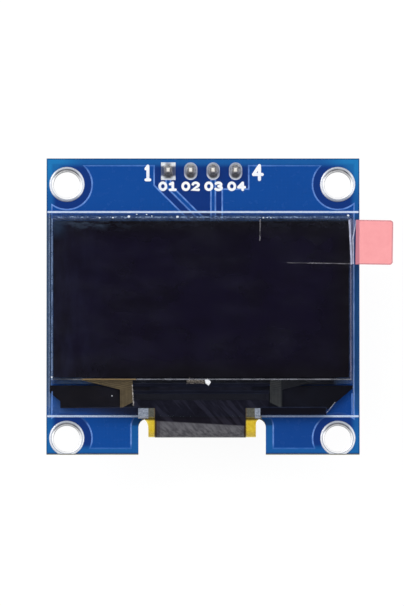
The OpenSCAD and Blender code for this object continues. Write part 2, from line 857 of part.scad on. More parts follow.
module lands2d(grow) {
    for (p = CAPACITORS) land_pair2d(p, grow);
    for (p = RESISTORS) land_pair2d(p, grow);
    land_pair2d(SPARE_LANDS, grow);
    for (i = [0:2])
        block2d(lead_at(i), [lead_w, lead_len] + lead_land_over + 2 * [grow, grow]);
}

module contact_lands2d() {
    for (i = [1:contact_count])
        span2d([contact_x(i) - contact_w / 2, end_top], [contact_x(i) + contact_w / 2, lands_top]);
}

module contact_window2d(grow) {
    span2d([contact_x(1) - contact_w / 2 - grow, end_top - grow],
           [contact_x(contact_count) + contact_w / 2 + grow, lands_top + grow]);
}

module back_lands() {
    color("silver") layer(back_level, 0) {
        lands2d(0);
        contact_lands2d();
    }
}

// Body of a chip part between its end caps
module chip_body(part, t) {
    translate([part.x, part.y, back_level - t]) rotate(part.z) linear_extrude(t)
        square([chip_part_len - 2 * end_cap_len, chip_part_w], center = true);
}

module capacitor(i) {
    color([0.72, 0.6, 0.42]) chip_body(CAPACITORS[i - 1], capacitor_t);
}

module resistor(i) {
    color([0.08, 0.08, 0.09]) chip_body(RESISTORS[i - 1], resistor_t);
}

// Metal end cap with the solder that runs down from it to the land
module end_cap(part, side, t) {
    inner = chip_part_len / 2 - end_cap_len;
    outer = chip_part_len / 2;
    translate([part.x, part.y, back_level]) rotate(side > 0 ? part.z : part.z + 180)
        rotate([90, 0, 0]) linear_extrude(chip_part_w, center = true) polygon([
            [inner, 0], [outer + land_over * 4 / 5, 0], [outer + land_over / 3, -t / 4],
            [outer, -t * 2 / 3], [outer, -t], [inner, -t]
        ]);
}

module chip_end_caps() {
    color("silver") for (side = [-1, 1]) {
        for (p = CAPACITORS) end_cap(p, side, capacitor_t);
        for (p = RESISTORS) end_cap(p, side, resistor_t);
    }
}

// Moulded body whose long sides slope to both faces
module regulator_body() {
    low = back_level - body_lift_h;
    half = regulator_w / 2;
    slope = regulator_slope_w;
    color([0.07, 0.07, 0.07]) translate([0, REGULATOR.y, low])
        across_x(REGULATOR.x, regulator_len) polygon([
            [slope - half, 0], [half - slope, 0], [half, -regulator_t / 2],
            [half - slope, -regulator_t], [slope - half, -regulator_t], [-half, -regulator_t / 2]
        ]);
}

// Bent leads: out of the body's side, down, and flat on the land
module regulator_leads() {
    mid = body_lift_h + regulator_t / 2;
    color("silver") for (lead = LEADS)
        translate([REGULATOR.x + lead.x, REGULATOR.y + lead.y * regulator_w / 2, back_level])
            mirror([0, lead.y < 0 ? 1 : 0, 0]) across_x(0, lead_w) polygon([
                [0, -mid], [lead_bend_len, lead_t / 2 - mid], [lead_bend_len, 0], [lead_len, 0],
                [lead_len, -lead_t], [lead_bend_len + lead_t, -lead_t],
                [lead_bend_len + lead_t, -mid - lead_t / 2], [lead_t / 2, -mid - lead_t / 2]
            ]);
}

// ---- Drawing ----

circuit_board();
front_copper();
back_copper();
front_legend();
back_lands();
for (i = [1:4])
    mounting_ring(i);
header_body();
for (i = [1:pin_count])
    header_pin(i);
for (i = [1:pin_count])
    header_pad(i);
for (i = [1:pin_count])
    header_solder(i);
mounting_tape();
cap_glass();
desiccant_sheet();
seal_frame();
emitting_layer();
front_glass();
ledge_shade();
left_fanout();
right_fanout();
driver_chip();
polarizer();
protective_film();
pull_tab();
tab_grip();
display_flex();
flex_cover();
flex_bond();
flex_ear_pads();
flex_solder();
regulator_body();
regulator_leads();
for (i = [1:len(CAPACITORS)])
    capacitor(i);
for (i = [1:len(RESISTORS)])
    resistor(i);
chip_end_caps();
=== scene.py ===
"""Looks of the small OLED display module: materials, printed marks, solder, films and light."""

import math

import bmesh
import bpy
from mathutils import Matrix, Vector, noise


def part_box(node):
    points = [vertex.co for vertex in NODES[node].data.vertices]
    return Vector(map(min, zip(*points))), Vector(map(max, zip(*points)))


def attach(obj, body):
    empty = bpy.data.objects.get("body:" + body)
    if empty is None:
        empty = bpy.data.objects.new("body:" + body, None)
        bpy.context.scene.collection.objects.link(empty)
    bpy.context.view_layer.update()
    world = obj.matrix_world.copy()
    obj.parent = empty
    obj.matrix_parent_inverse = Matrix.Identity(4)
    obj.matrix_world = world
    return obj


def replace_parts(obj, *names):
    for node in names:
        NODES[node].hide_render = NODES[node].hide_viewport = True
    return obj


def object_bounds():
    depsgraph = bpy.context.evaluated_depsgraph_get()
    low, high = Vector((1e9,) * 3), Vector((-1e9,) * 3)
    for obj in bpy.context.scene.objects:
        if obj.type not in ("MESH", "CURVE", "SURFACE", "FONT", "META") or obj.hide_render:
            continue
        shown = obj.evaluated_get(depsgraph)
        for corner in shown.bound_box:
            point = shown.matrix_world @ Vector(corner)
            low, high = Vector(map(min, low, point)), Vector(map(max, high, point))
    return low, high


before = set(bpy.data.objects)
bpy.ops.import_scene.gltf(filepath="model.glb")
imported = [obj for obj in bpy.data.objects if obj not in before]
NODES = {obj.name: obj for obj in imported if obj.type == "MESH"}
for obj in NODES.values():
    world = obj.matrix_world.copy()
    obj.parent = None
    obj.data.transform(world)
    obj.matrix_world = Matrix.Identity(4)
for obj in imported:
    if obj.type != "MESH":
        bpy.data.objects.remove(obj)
CAD_BOX = [list(corner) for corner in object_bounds()]
MM = 0.001
PINS = 4
HOLES = 4
ABOVE_ALL = 20
HALVINGS = 20


# ---- Places taken from the CAD nodes, in millimetres ----

def box(node):
    """Lowest and highest corner of a CAD node."""
    low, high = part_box(node)
    return low / MM, high / MM


def middle(node):
    """Middle of a CAD node's box."""
    low, high = box(node)
    return (low + high) / 2


BOARD, GLASS, CAP, POLARIZER, FILM, TAB, GRIP = map(box, (
    "circuit_board", "front_glass", "cap_glass", "polarizer", "protective_film", "pull_tab",
    "tab_grip"))
CHIP, SHADE, BOND, FLEX, COVER, EARS, RING = map(box, (
    "driver_chip", "ledge_shade", "flex_bond", "display_flex", "flex_cover", "flex_ear_pads",
    "mounting_ring_1"))
BOARD_TOP = BOARD[1].z
MASK_TOP = box("front_copper")[1].z
GLAZE_LEVEL = box("back_copper")[0].z - 0.33
RING_R = (RING[1].x - RING[0].x) / 2
HOLE = Vector((RING[1].x - RING_R, RING[1].y - RING_R))


def level_of(node, x, y):
    """Level of a CAD node's upper face at a place, or None beside the node."""
    hit, place, _, _ = NODES[node].ray_cast(Vector((x, y, ABOVE_ALL)) * MM, Vector((0, 0, -1)))
    return place.z / MM if hit else None


def side_of(node, inside, outside, y):
    """x of a node's side, between an x on the node and one beside it."""
    for _ in range(HALVINGS):
        between = (inside + outside) / 2
        if level_of(node, between, y) is None:
            outside = between
        else:
            inside = between
    return inside


FOLD_Y = EARS[0].y - 0.5
FLEX_NECK = [side_of("display_flex", 0, FLEX[k].x, FOLD_Y) for k in (0, 1)]
COVER_NECK = [side_of("flex_cover", 0, COVER[k].x, FOLD_Y) for k in (0, 1)]


# ---- Node trees ----

def linear(colour):
    """Linear colour of three display values from 0 to 255; four linear values stay as they are."""
    if len(colour) == 4:
        return colour
    parts = [c / 255 for c in colour]
    return (*(c / 12.92 if c <= 0.04045 else ((c + 0.055) / 1.055) ** 2.4 for c in parts), 1)


BLACK = (0, 0, 0, 1)
WHITE = (1, 1, 1, 1)
WAVE_PITCH = 0.31416  # pitch of a Wave texture's bands at scale 1


def arithmetic(operation, swapped=False):
    """A method of Value that adds a Math node for itself and another number."""
    def method(self, other=0.0):
        return self.tree.math(operation, *((other, self) if swapped else (self, other)))
    return method


class Value:
    """A number that varies over a surface; arithmetic with it adds Math nodes."""

    def __init__(self, tree, socket):
        self.tree = tree
        self.socket = socket

    __add__ = arithmetic("ADD")
    __radd__ = arithmetic("ADD", swapped=True)
    __sub__ = arithmetic("SUBTRACT")
    __rsub__ = arithmetic("SUBTRACT", swapped=True)
    __mul__ = arithmetic("MULTIPLY")
    __truediv__ = arithmetic("DIVIDE")
    __gt__ = arithmetic("GREATER_THAN")
    __lt__ = arithmetic("LESS_THAN")
    __abs__ = arithmetic("ABSOLUTE")
    most = arithmetic("MAXIMUM")
    least = arithmetic("MINIMUM")

    def step(self, low, high, to_low=0.0, to_high=1.0):
        """Smooth step between two limits; the limits may fall."""
        if low > high:
            low, high, to_low, to_high = high, low, to_high, to_low
        limits = {"From Min": low, "From Max": high, "To Min": to_low, "To Max": to_high}
        made = self.tree.fed("MapRange", {"Value": self, **limits}, interpolation_type="SMOOTHSTEP")
        return Value(self.tree, made[0])

    def tones(self, dark, bright, low=0.3, high=0.7):
        """Colours from dark, where the value is low, to bright, where it is high."""
        return self.tree.ramp(self, (low, dark), (high, bright))

    def bump(self, distance, strength):
        """Normal of a relief that this value draws; the distance is in millimetres."""
        inputs = {"Height": self, "Distance": distance * MM, "Strength": strength}
        return self.tree.fed("Bump", inputs)["Normal"]


class Tree:
    """The node tree of a material or world, with short calls for its nodes."""

    def __init__(self, owner, output):
        owner.use_nodes = True
        self.tree = owner.node_tree
        self.tree.nodes.clear()
        self.out = self.node(output)

    def node(self, kind, **settings):
        made = self.tree.nodes.new("ShaderNode" + kind)
        for key, value in settings.items():
            setattr(made, key, value)
        return made

    def put(self, socket, value):
        if isinstance(value, Value):
            value = value.socket
        if isinstance(value, bpy.types.NodeSocket):
            self.tree.links.new(value, socket)
        else:
            socket.default_value = linear(value) if socket.type == "RGBA" else value

    def fed(self, kind, inputs, **settings):
        """Outputs of a new node; its inputs are given by name or number."""
        n = self.node(kind, **settings)
        for key, value in inputs.items():
            self.put(n.inputs[key], value)
        return n.outputs

    def join(self, kind, *inputs):
        """First output of a new node whose first inputs are given in order."""
        return self.fed(kind, dict(enumerate(inputs)))[0]

    def math(self, operation, a, b=0.0):
        return Value(self, self.fed("Math", {0: a, 1: b}, operation=operation)[0])

    def part(self, vector, name):
        """One component of a vector."""
        return Value(self, self.fed("SeparateXYZ", {0: vector})[name])

    def ramp(self, factor, *stops):
        n = self.node("ValToRGB")
        self.put(n.inputs[0], factor)
        marks = n.color_ramp.elements
        while len(marks) < len(stops):
            marks.new(0.5)
        for mark, (place, colour) in zip(marks, stops):
            mark.position = place
            mark.color = linear(colour)
        return n.outputs[0]


class Look(Tree):
    """A material whose textures read the row frame's millimetres."""

    def __init__(self, name):
        self.name = name
        self.material = bpy.data.materials.new(name)
        super().__init__(self.material, "OutputMaterial")
        self.place = self.scaled(self.node("TexCoord").outputs["Object"], (1 / MM,) * 3)

    def scaled(self, vector, scale, shift=(0, 0, 0), turn=(0, 0, 0)):
        inputs = {"Vector": vector, "Scale": scale, "Location": shift, "Rotation": turn}
        return self.fed("Mapping", inputs)[0]

    def axis(self, name):
        return self.part(self.place, name)

    def xy(self):
        return self.axis("X"), self.axis("Y")

    def noise(self, size, detail=2.0, rough=0.5, stretch=(1, 1, 1), shift=(0, 0, 0),
              turn=(0, 0, 0)):
        scale = tuple(1 / (size * s) for s in stretch)
        turned = self.scaled(self.place, (1, 1, 1), turn=turn) if any(turn) else self.place
        inputs = {"Vector": self.scaled(turned, scale, shift), "Scale": 1.0, "Detail": detail,
                  "Roughness": rough}
        return Value(self, self.fed("TexNoise", inputs)["Fac"])

    def lines(self, pitch, direction, turn=0.0, sharp=1.0):
        """Parallel lines of a pitch, from 0 to 1, across an axis."""
        turned = self.scaled(self.place, (1, 1, 1), turn=(0, 0, turn))
        made = self.fed("TexWave", {"Vector": turned, "Scale": WAVE_PITCH / pitch},
                        bands_direction=direction)
        return self.math("POWER", made["Fac"], sharp)

    def flakes(self, size):
        """Distance to the nearest middle of scattered cells."""
        inputs = {"Vector": self.scaled(self.place, (1 / size,) * 3), "Scale": 1.0}
        return Value(self, self.fed("TexVoronoi", inputs)["Distance"])

    def mix(self, factor, a, b, kind="MIX"):
        """Colour b over colour a, where the factor is 1."""
        return self.fed("Mix", {"Factor": factor, 6: a, 7: b}, data_type="RGBA", blend_type=kind)[2]

    def edge_distance(self, low, high):
        """Distances to the nearest sides of a rectangle, from inside."""
        x, y = self.xy()
        dx = (x - low.x).least(high.x - x)
        dy = (y - low.y).least(high.y - y)
        return dx, dy, dx.least(dy)

    def facing(self, name="Z"):
        """A component of the surface's direction."""
        return self.part(self.node("NewGeometry").outputs["Normal"], name)

    def sides(self, flat=0.7, upright=0.3):
        """1 on the upright sides of a piece and 0 on its flat faces."""
        return abs(self.facing()).step(flat, upright)

    def surface(self, colour, roughness=0.5, metallic=0.0, normal=None, specular=0.5):
        inputs = {"Base Color": colour, "Roughness": roughness, "Metallic": metallic,
                  "Specular IOR Level": specular}
        if normal is not None:
            inputs["Normal"] = normal
        return self.fed("BsdfPrincipled", inputs)[0]

    def over_clear(self, share, surface, tint=WHITE):
        """A see-through body: share of the surface, the rest clear with a tint.

        Light meets it where it enters the body; the far side is fully clear.
        """
        inner = Value(self, self.node("NewGeometry").outputs["Backfacing"])
        clear = self.join("BsdfTransparent", self.mix(inner, tint, WHITE))
        return self.join("MixShader", share * (1.0 - inner), clear, surface)

    def done(self, shader):
        self.put(self.out.inputs["Surface"], shader)
        LOOKS[self.name] = self.material


LOOKS = {}


def painted(paint):
    """Makes the material that a function paints, under the function's name."""
    look = Look(paint.__name__)
    look.done(paint(look))
    return paint


# ---- Board and print ----

def fr4_edge(look):
    """Sawn laminate: pale resin with the glass cloth's layers."""
    layers = look.noise(0.11, 3, 0.6, stretch=(14, 14, 1))
    grain = look.noise(0.25, 4, 0.7)
    return look.ramp(layers * 0.7 + grain * 0.3, (0.3, (92, 92, 66)),
                     (0.5, (132, 126, 88)), (0.7, (166, 158, 118)))


def woven(look, colour):
    """A colour under the glass cloth's faint grid and cloud, from about 0.9 to 1.1 of it."""
    cloth = look.lines(0.42, "X", sharp=2.0) + look.lines(0.42, "Y", sharp=2.0)
    cloud = look.noise(5.0, 3, 0.55, stretch=(2.4, 1, 1))
    tone = cloth * 0.035 + cloud * 0.26 + 0.84
    return look.mix(1.0, colour, tone.tones(BLACK, WHITE, 0.0, 1.0), "MULTIPLY")


def left_haze(look, colour):
    """Painted light: the board's blue is painted paler under the glass's lower left corner, where
    the glass's haze lightens it.
    """
    x, y = look.xy()
    across = x.step(GLASS[0].x + 4.2, GLASS[0].x + 1.0)
    down = y.step(CAP[0].y + 0.2, CAP[0].y - 0.4) * y.step(GLASS[0].y, GLASS[0].y + 0.1)
    cloud = look.noise(1.4, 3).step(0.3, 0.7, 0.3, 0.75)
    return look.mix(across * down * cloud, colour, (66, 98, 152))


@painted
def board_mask(look):
    """Blue mask: darker beside the display, paler at the board's sides, laminate in the walls, and
    painted shade round the notch's top.
    """
    x, y = look.xy()
    dx, dy, near = look.edge_distance(*BOARD)
    notch_half = (FLEX[1].x - FLEX[0].x) / 2 + 1.1
    to_notch = abs(x - (FLEX[0].x + FLEX[1].x) / 2) - notch_half
    beside = to_notch.step(1.0, 0.3) * y.step(BOND[0].y - 1.6, BOND[0].y - 2.4)
    ends = abs(y).step(GLASS[1].y - 1.0, GLASS[1].y + 1.0, 0.35, 1.0)
    bare = (near.step(1.15, 0.45) * ends).most(beside)
    corner = (dx + dy).step(5.0, 1.2) * y.step(-14.0, 5.0, 0.35, 1.0)
    fill = (dx + dy).step(3.7, 2.0, 0.0, 0.7)
    bare = bare.most(fill * (y > 0.0))
    pale = look.mix(corner, (24, 90, 160), (30, 120, 186))
    blue = look.mix(bare, (14, 52, 124), pale)
    # Painted shade round the notch's top, where the board's edge falls in shadow; lip also darkens
    # a thin line along the board's outer edges.
    notch_shade = to_notch.step(0.55, 0.3) * y.step(EARS[0].y - 0.85, EARS[0].y - 0.6)
    lip = near.step(0.17, 0.05).most(notch_shade * (y < EARS[0].y))
    blue = look.mix(lip * 0.75, blue, (14, 50, 98))
    strip = abs(y).step(GLASS[1].y + 0.3, GLASS[1].y - 0.6) * dx.step(0.7, 0.5)
    blue = look.mix(strip * 0.8, blue, look.mix(x > 0.0, (78, 98, 124), (34, 82, 136)))
    blue = left_haze(look, woven(look, blue))
    side = look.sides(0.6, 0.4)
    skin = abs(look.axis("Z") - BOARD_TOP / 2) > BOARD_TOP / 2 - 0.06
    colour = look.mix(side, blue, look.mix(skin, fr4_edge(look), (20, 58, 118)))
    rough = side * 0.45 + look.noise(0.8, 3) * 0.12 + 0.18
    normal = look.noise(0.12, 3, 0.6).bump(0.012, 0.25)
    return look.surface(colour, rough, normal=normal, specular=0.2)


@painted
def masked_copper(look):
    x, y = look.xy()
    low = x.step(-4.0, 12.0) * y.step(0.0, BOARD[0].y + 4.0)
    blue = woven(look, look.mix(low, (11, 73, 153), (12, 66, 142)))
    rough = look.noise(0.8, 3) * 0.12 + 0.2
    normal = look.noise(0.14, 3, 0.6).bump(0.012, 0.25)
    return look.surface(left_haze(look, blue), rough, normal=normal, specular=0.2)


@painted
def mask_edge(look):
    """Solder mask over the copper's edge, lighter partly where it thins over the metal and partly
    as a painted highlight; painted shade darkens it under the glass ledge.
    """
    x, y = look.xy()
    thin = look.noise(0.9, 3, 0.6)
    # Partly the mask thinned over the copper, partly a painted highlight along the step.
    colour = thin.tones((62, 104, 184), (116, 158, 228), 0.25, 0.75)
    low = y.step(BOARD[0].y + 1.3, BOARD[0].y + 0.7, 0.0, 0.8)
    high = y.step(BOARD[1].y - 1.5, BOARD[1].y - 1.1, 0.0, 0.6)
    colour = look.mix(low.most(high), colour, (24, 90, 168))
    # Painted shade: under the glass ledge the lines darken to the plain mask's blue.
    under = y.step(GLASS[0].y - 1.0, GLASS[0].y - 0.4) * (y < CAP[0].y - 1.0)
    inner = abs(x).step(BOARD[1].x - 1.1, BOARD[1].x - 1.4, 0.0, 0.85)
    colour = look.mix(under * inner, colour, (13, 62, 132))
    normal = look.noise(0.1, 2).bump(0.008, 0.3)
    return look.surface(colour, 0.3, normal=normal, specular=0.12)


@painted
def white_ink(look):
    tone = look.noise(0.35, 4, 0.65) * 0.35 + look.noise(6.0, 2, stretch=(1, 0.2, 1)) * 0.65
    colour = look.ramp(tone, (0.28, (214, 226, 248)), (0.5, (250, 252, 255)), (0.7, WHITE))
    normal = look.noise(0.09, 3, 0.7).bump(0.012, 0.5)
    return look.surface(colour, 0.55, normal=normal, specular=0.35)


@painted
def line_ink(look):
    """The two printed lines: bluish white, dimmer along the lower one, and dimmer still in a
    stretch on its right.
    """
    x, y = look.xy()
    wear_and_shade = look.noise(0.3, 4, 0.65)
    low = y < 0.0
    colour = wear_and_shade.tones((186, 208, 244), (226, 236, 254))
    colour = look.mix(low * 0.08, colour, (150, 172, 214))
    faint = x.step(6.0, 6.6) * x.step(14.6, 13.2)
    colour = look.mix(low * faint * 0.45, colour, (120, 144, 190))
    return look.surface(colour, 0.55, normal=wear_and_shade.bump(0.01, 0.4), specular=0.3)


# ---- Plastic, glue and parts ----

@painted
def header_plastic(look):
    grain = look.noise(0.08, 4, 0.7)
    colour = look.noise(0.9, 4, 0.6).tones((20, 20, 21), (38, 38, 40))
    return look.surface(colour, grain * 0.25 + 0.35, normal=grain.bump(0.012, 0.5))


def dull(name, dark, bright, cloud, rough, grain, bumps):
    """A body with a cloudy colour and a grainy skin; cloud and grain are noise settings."""
    look = Look(name)
    colour = look.noise(*cloud).tones(dark, bright)
    look.done(look.surface(colour, rough, normal=look.noise(*grain).bump(*bumps)))


dull("desiccant", (205, 202, 190), (238, 236, 228), (0.12, 4, 0.7), 0.85,
     (0.12, 4, 0.7), (0.02, 0.5))
dull("moulded_black", (24, 24, 25), (42, 42, 44), (0.5, 4, 0.6), 0.6,
     (0.07, 5, 0.75), (0.02, 0.7))
dull("capacitor_ceramic", (150, 116, 76), (182, 148, 104), (0.6, 4, 0.6), 0.42,
     (0.1, 5, 0.7), (0.012, 0.5))


def flaky(name, dark, bright, rough, size, bumps, specular=0.5):
    """A body of small round cells that are darker in the middle."""
    look = Look(name)
    cells = look.flakes(size)
    colour = cells.tones(dark, bright, 0.1, 0.6)
    look.done(look.surface(colour, rough, normal=cells.bump(*bumps), specular=specular))


flaky("foam_tape", (30, 30, 32), (62, 62, 66), 0.9, 0.14, (0.05, 0.8))
flaky("bond_glue", (18, 17, 22), (28, 27, 33), 0.5, 0.09, (0.01, 0.5), 0.05)


@painted
def silicon(look):
    colour = look.noise(0.9, 3).tones((18, 17, 24), (27, 26, 35))
    return look.surface(colour, 0.25, normal=look.flakes(0.22).bump(0.004, 0.3), specular=0.1)


@painted
def resistor_glaze(look):
    """Black glaze on the outer face of a resistor, white ceramic below it."""
    grain = look.noise(0.1, 4, 0.6)
    black = grain.tones((14, 14, 16), (28, 28, 31))
    white = grain.tones((206, 204, 196), (232, 230, 224))
    colour = look.mix(look.axis("Z") > GLAZE_LEVEL, black, white)
    return look.surface(colour, 0.3, normal=grain.bump(0.008, 0.4))


# ---- Display: glass, films and what shows through them ----

def foot_band(look):
    """1 in the dark band just above the ledge, 0 at its two ends and elsewhere."""
    x, y = look.xy()
    across = x.step(FILM[0].x + 3.4, FILM[0].x + 5.5) * x.step(FILM[1].x - 1.2, FILM[1].x - 2.2)
    return across * y.step(POLARIZER[0].y + 0.3, POLARIZER[0].y + 0.15)


def below_shade(look):
    """The dark strip between the ledge's black sheet and the glass's lower edge, painted shadow on
    its left, and the thin gaps between cap glass, chip and bond, painted dark.
    """
    x, y = look.xy()
    # Painted shadow of the glass and black sheet on the left; on the right the black sheet reaches
    # lower.
    left = x.step(SHADE[0].x + 0.8, BOND[0].x + 0.6, 0.12, 0.88) * (x < EARS[0].x)
    right = x.step(14.15, 13.9) * (x > EARS[1].x)
    edge = y.step(SHADE[0].y + 0.5, SHADE[0].y + 0.3) * y.step(GLASS[0].y + 0.02, GLASS[0].y + 0.2)
    strip = left.most(right * 0.97) * edge
    gaps = 0.0
    for low, high in ((CHIP[1].y, CAP[0].y), (BOND[1].y, CHIP[0].y)):
        gaps = y.step(low - 0.12, low - 0.04) * y.step(high + 0.12, high + 0.04) + gaps
    across = x.step(BOND[0].x - 0.35, BOND[0].x - 0.25) * x.step(BOND[1].x + 0.35, BOND[1].x + 0.25)
    return strip.most(gaps * across * 0.93)


def glass(name, dark_share=None, dark_colour=None):
    """Thin sheet glass; dark_share gives where a dark colour is painted into it: on the front glass
    the ledge's painted shadow and the black sheet's lower edge, on the cap glass the dark band
    above the ledge.
    """
    look = Look(name)
    haze = look.noise(2.2, 4, 0.6)
    side = look.sides()
    share = haze.step(0.3, 0.75, 0.01, 0.04) + side * 0.4
    colour = look.mix(side, haze.tones((40, 50, 80), (70, 80, 112)), (112, 146, 150))
    if dark_share:
        dark = dark_share(look) * (1.0 - side)
        colour = look.mix(dark, colour, dark_colour)
        share = share.most(dark)
    surface = look.surface(colour, 0.04, specular=0.25)
    look.done(look.over_clear(share, surface, (244, 248, 251)))


glass("clear_glass")
glass("cap_glass", foot_band, (16, 15, 22))
# The front glass carries the ledge's painted shadow, and darkens where the black sheet reaches
# lower.
glass("front_glass", below_shade, (14, 13, 19))


@painted
def seal_glue(look):
    cloud = look.noise(0.5, 4, 0.6)
    dark = foot_band(look)
    colour = look.mix(dark, cloud.tones((50, 66, 92), (84, 100, 126)), (17, 16, 22))
    surface = look.surface(colour, 0.4, specular=0.1)
    return look.over_clear((cloud * 0.3 + 0.3).most(dark), surface, (232, 236, 246))


@painted
def emitting_film(look):
    rows = look.lines(0.24, "X", sharp=0.5) * look.lines(0.23, "Y", sharp=0.5)
    return look.surface(rows.tones((18, 18, 26), (44, 46, 66), 0.0, 1.0), 0.25, 0.4)


@painted
def black_sheet(look):
    cloud = look.noise(1.6, 4, 0.6, stretch=(1.6, 1, 1))
    colour = cloud.tones((17, 15, 20), (25, 21, 24))
    colour = look.mix(look.axis("X").step(-2.0, 6.0), colour, (15, 13, 19))
    normal = look.noise(0.06, 3, 0.7).bump(0.008, 0.4)
    return look.surface(colour, 0.5, normal=normal, specular=0.05)


def metal_tracks(name, dark, bright, end):
    """A field of fine tracks in painted light and shade: along the strip they run up, in the wedge
    they fan out.

    Past the x of end the field is painted black, as shade.
    """
    look = Look(name)
    x, y = look.xy()
    up = y.step(CAP[0].y - 0.7, CAP[0].y - 0.3)
    stripes = look.lines(0.16, "X", sharp=0.7) * (1.0 - up) + look.lines(0.2, "Y", 0.17, 0.7) * up
    tone = stripes * 0.4 + look.noise(0.7, 4, 0.6) * 0.6
    colour = look.mix(x.step(end - 0.05, end + 0.05), tone.tones(dark, bright, 0.2, 0.8),
                      (17, 16, 19))
    look.done(look.surface(colour, 0.38, normal=stripes.bump(0.01, 0.4), specular=0.2))


# Lit and shaded copies of one track field: painted light makes the left one bright and warm,
# painted shade makes the right one grey and dim.
metal_tracks("lit_tracks", (58, 44, 28), (106, 90, 62), 50.0)
metal_tracks("shaded_tracks", (21, 21, 21), (62, 61, 60), BOND[1].x + 1.7)


@painted
def polarizer_film(look):
    """Near-black sheet, paler and bluer in streaks and patches along its upper and left sides."""
    low, high = POLARIZER
    x, y = look.xy()
    broad = look.noise(7.0, 4, 0.55, stretch=(1.3, 1.0, 1))
    base = look.ramp(broad, (0.34, (15, 12, 24)), (0.5, (17, 13, 31)),
                     (0.66, (15, 12, 25)))
    _, _, near = look.edge_distance(low, high)
    base = look.mix((near + broad * 3.0).step(4.4, 1.6, 0.0, 0.9), base, (15, 13, 17))
    streaks = look.noise(1.3, 4, 0.6, stretch=(1, 4.0, 1), shift=(3, 1, 0))
    left = x.step(low.x + 8.0, low.x + 1.0) * streaks.step(0.35, 0.75, 0.15, 0.8)
    base = look.mix(left, base, (27, 27, 46))
    top = y.step(high.y - 1.3, high.y - 0.1) * x.step(-6.0, -12.5, 0.1, 1.0)
    pale_patches = look.noise(0.7, 5, 0.7, stretch=(2.4, 1, 1), shift=(0, 5, 0)).step(0.42, 0.7)
    base = look.mix(top * pale_patches, base, (54, 66, 84))
    corner = x.step(low.x + 1.9, low.x + 0.2) * y.step(high.y - 2.4, high.y - 0.6)
    base = look.mix(corner * 0.8, base, (34, 48, 70))
    base = look.mix(look.sides(), base, (14, 14, 16))
    return look.surface(base, look.noise(3.0, 3) * 0.06 + 0.06, specular=0.25)


def clear_film(name, haze_low, haze_high):
    """A clear sheet with a faint haze, more solid at its cut sides."""
    look = Look(name)
    haze = look.noise(2.6, 5, 0.65, stretch=(2.0, 1, 1))
    share = haze.step(0.35, 0.75, haze_low, haze_high) + look.sides() * 0.5
    colour = haze.tones((110, 118, 150), (160, 166, 190))
    look.done(look.over_clear(share, look.surface(colour, 0.06)))


clear_film("clear_film", 0.004, 0.016)
clear_film("tab_film", 0.0, 0.006)


@painted
def pink_film(look):
    """Translucent grip: it colours what lies behind it and has a deeper tone at its edge."""
    cloud = look.noise(1.2, 4, 0.6)
    colour = cloud.tones((0.93, 0.27, 0.265, 1), (0.99, 0.31, 0.305, 1))
    on_board = look.axis("X").step(BOARD[1].x + 0.1, BOARD[1].x - 0.1)
    colour = look.mix(on_board, colour, (0.98, 0.34, 0.42, 1))
    normal = look.noise(0.5, 3, 0.6).bump(0.008, 0.4)
    surface = look.surface(colour, 0.35, normal=normal, specular=0.2)
    return look.over_clear(look.sides() * 0.4 + 0.58, surface, (1.0, 0.52, 0.56, 1))


@painted
def polyimide(look):
    """Yellow film at the fold; brown-grey where it lies on the board, black where it is coated, and
    painted shade as a dark brown band just below the ears.
    """
    x, y = look.xy()
    upper = look.axis("Z") > BOARD_TOP
    cloud = look.noise(0.6, 4, 0.6)
    colour = cloud.tones((216, 186, 46), (246, 222, 84))
    low = y.step(FLEX[0].y + 0.75, FLEX[0].y + 0.15)
    colour = look.mix(low * 0.5, colour, (216, 200, 140))
    ear = y.step(BOND[0].y - 2.15, BOND[0].y - 1.95) * upper
    mottled = look.noise(0.22, 4, 0.7).tones((66, 64, 58), (124, 119, 104))
    colour = look.mix(ear, colour, mottled)
    line = abs(x - COVER_NECK[0]).least(abs(x - COVER_NECK[1])).step(0.16, 0.05)
    colour = look.mix(line * 0.6, colour, (110, 84, 50))
    coated = y.step(BOND[0].y - 1.0, BOND[0].y - 0.9) * upper
    colour = look.mix(coated, colour, (20, 18, 26))
    # Painted shade: a dark brown band on the neck just below the ears, where the board's notch edge
    # shades it.
    shade = y.step(EARS[0].y - 0.36, EARS[0].y - 0.12) * upper
    colour = look.mix(shade * (1.0 - ear), colour, (72, 58, 22))
    share = (cloud * 0.3 + 0.3).most(shade * 0.8).most(line * 0.8)
    normal = look.noise(0.15, 3, 0.6).bump(0.006, 0.4)
    surface = look.surface(colour, 0.3, normal=normal, specular=0.2)
    return look.over_clear(share.most(ear * 0.94), surface, (0.97, 0.80, 0.2, 1))


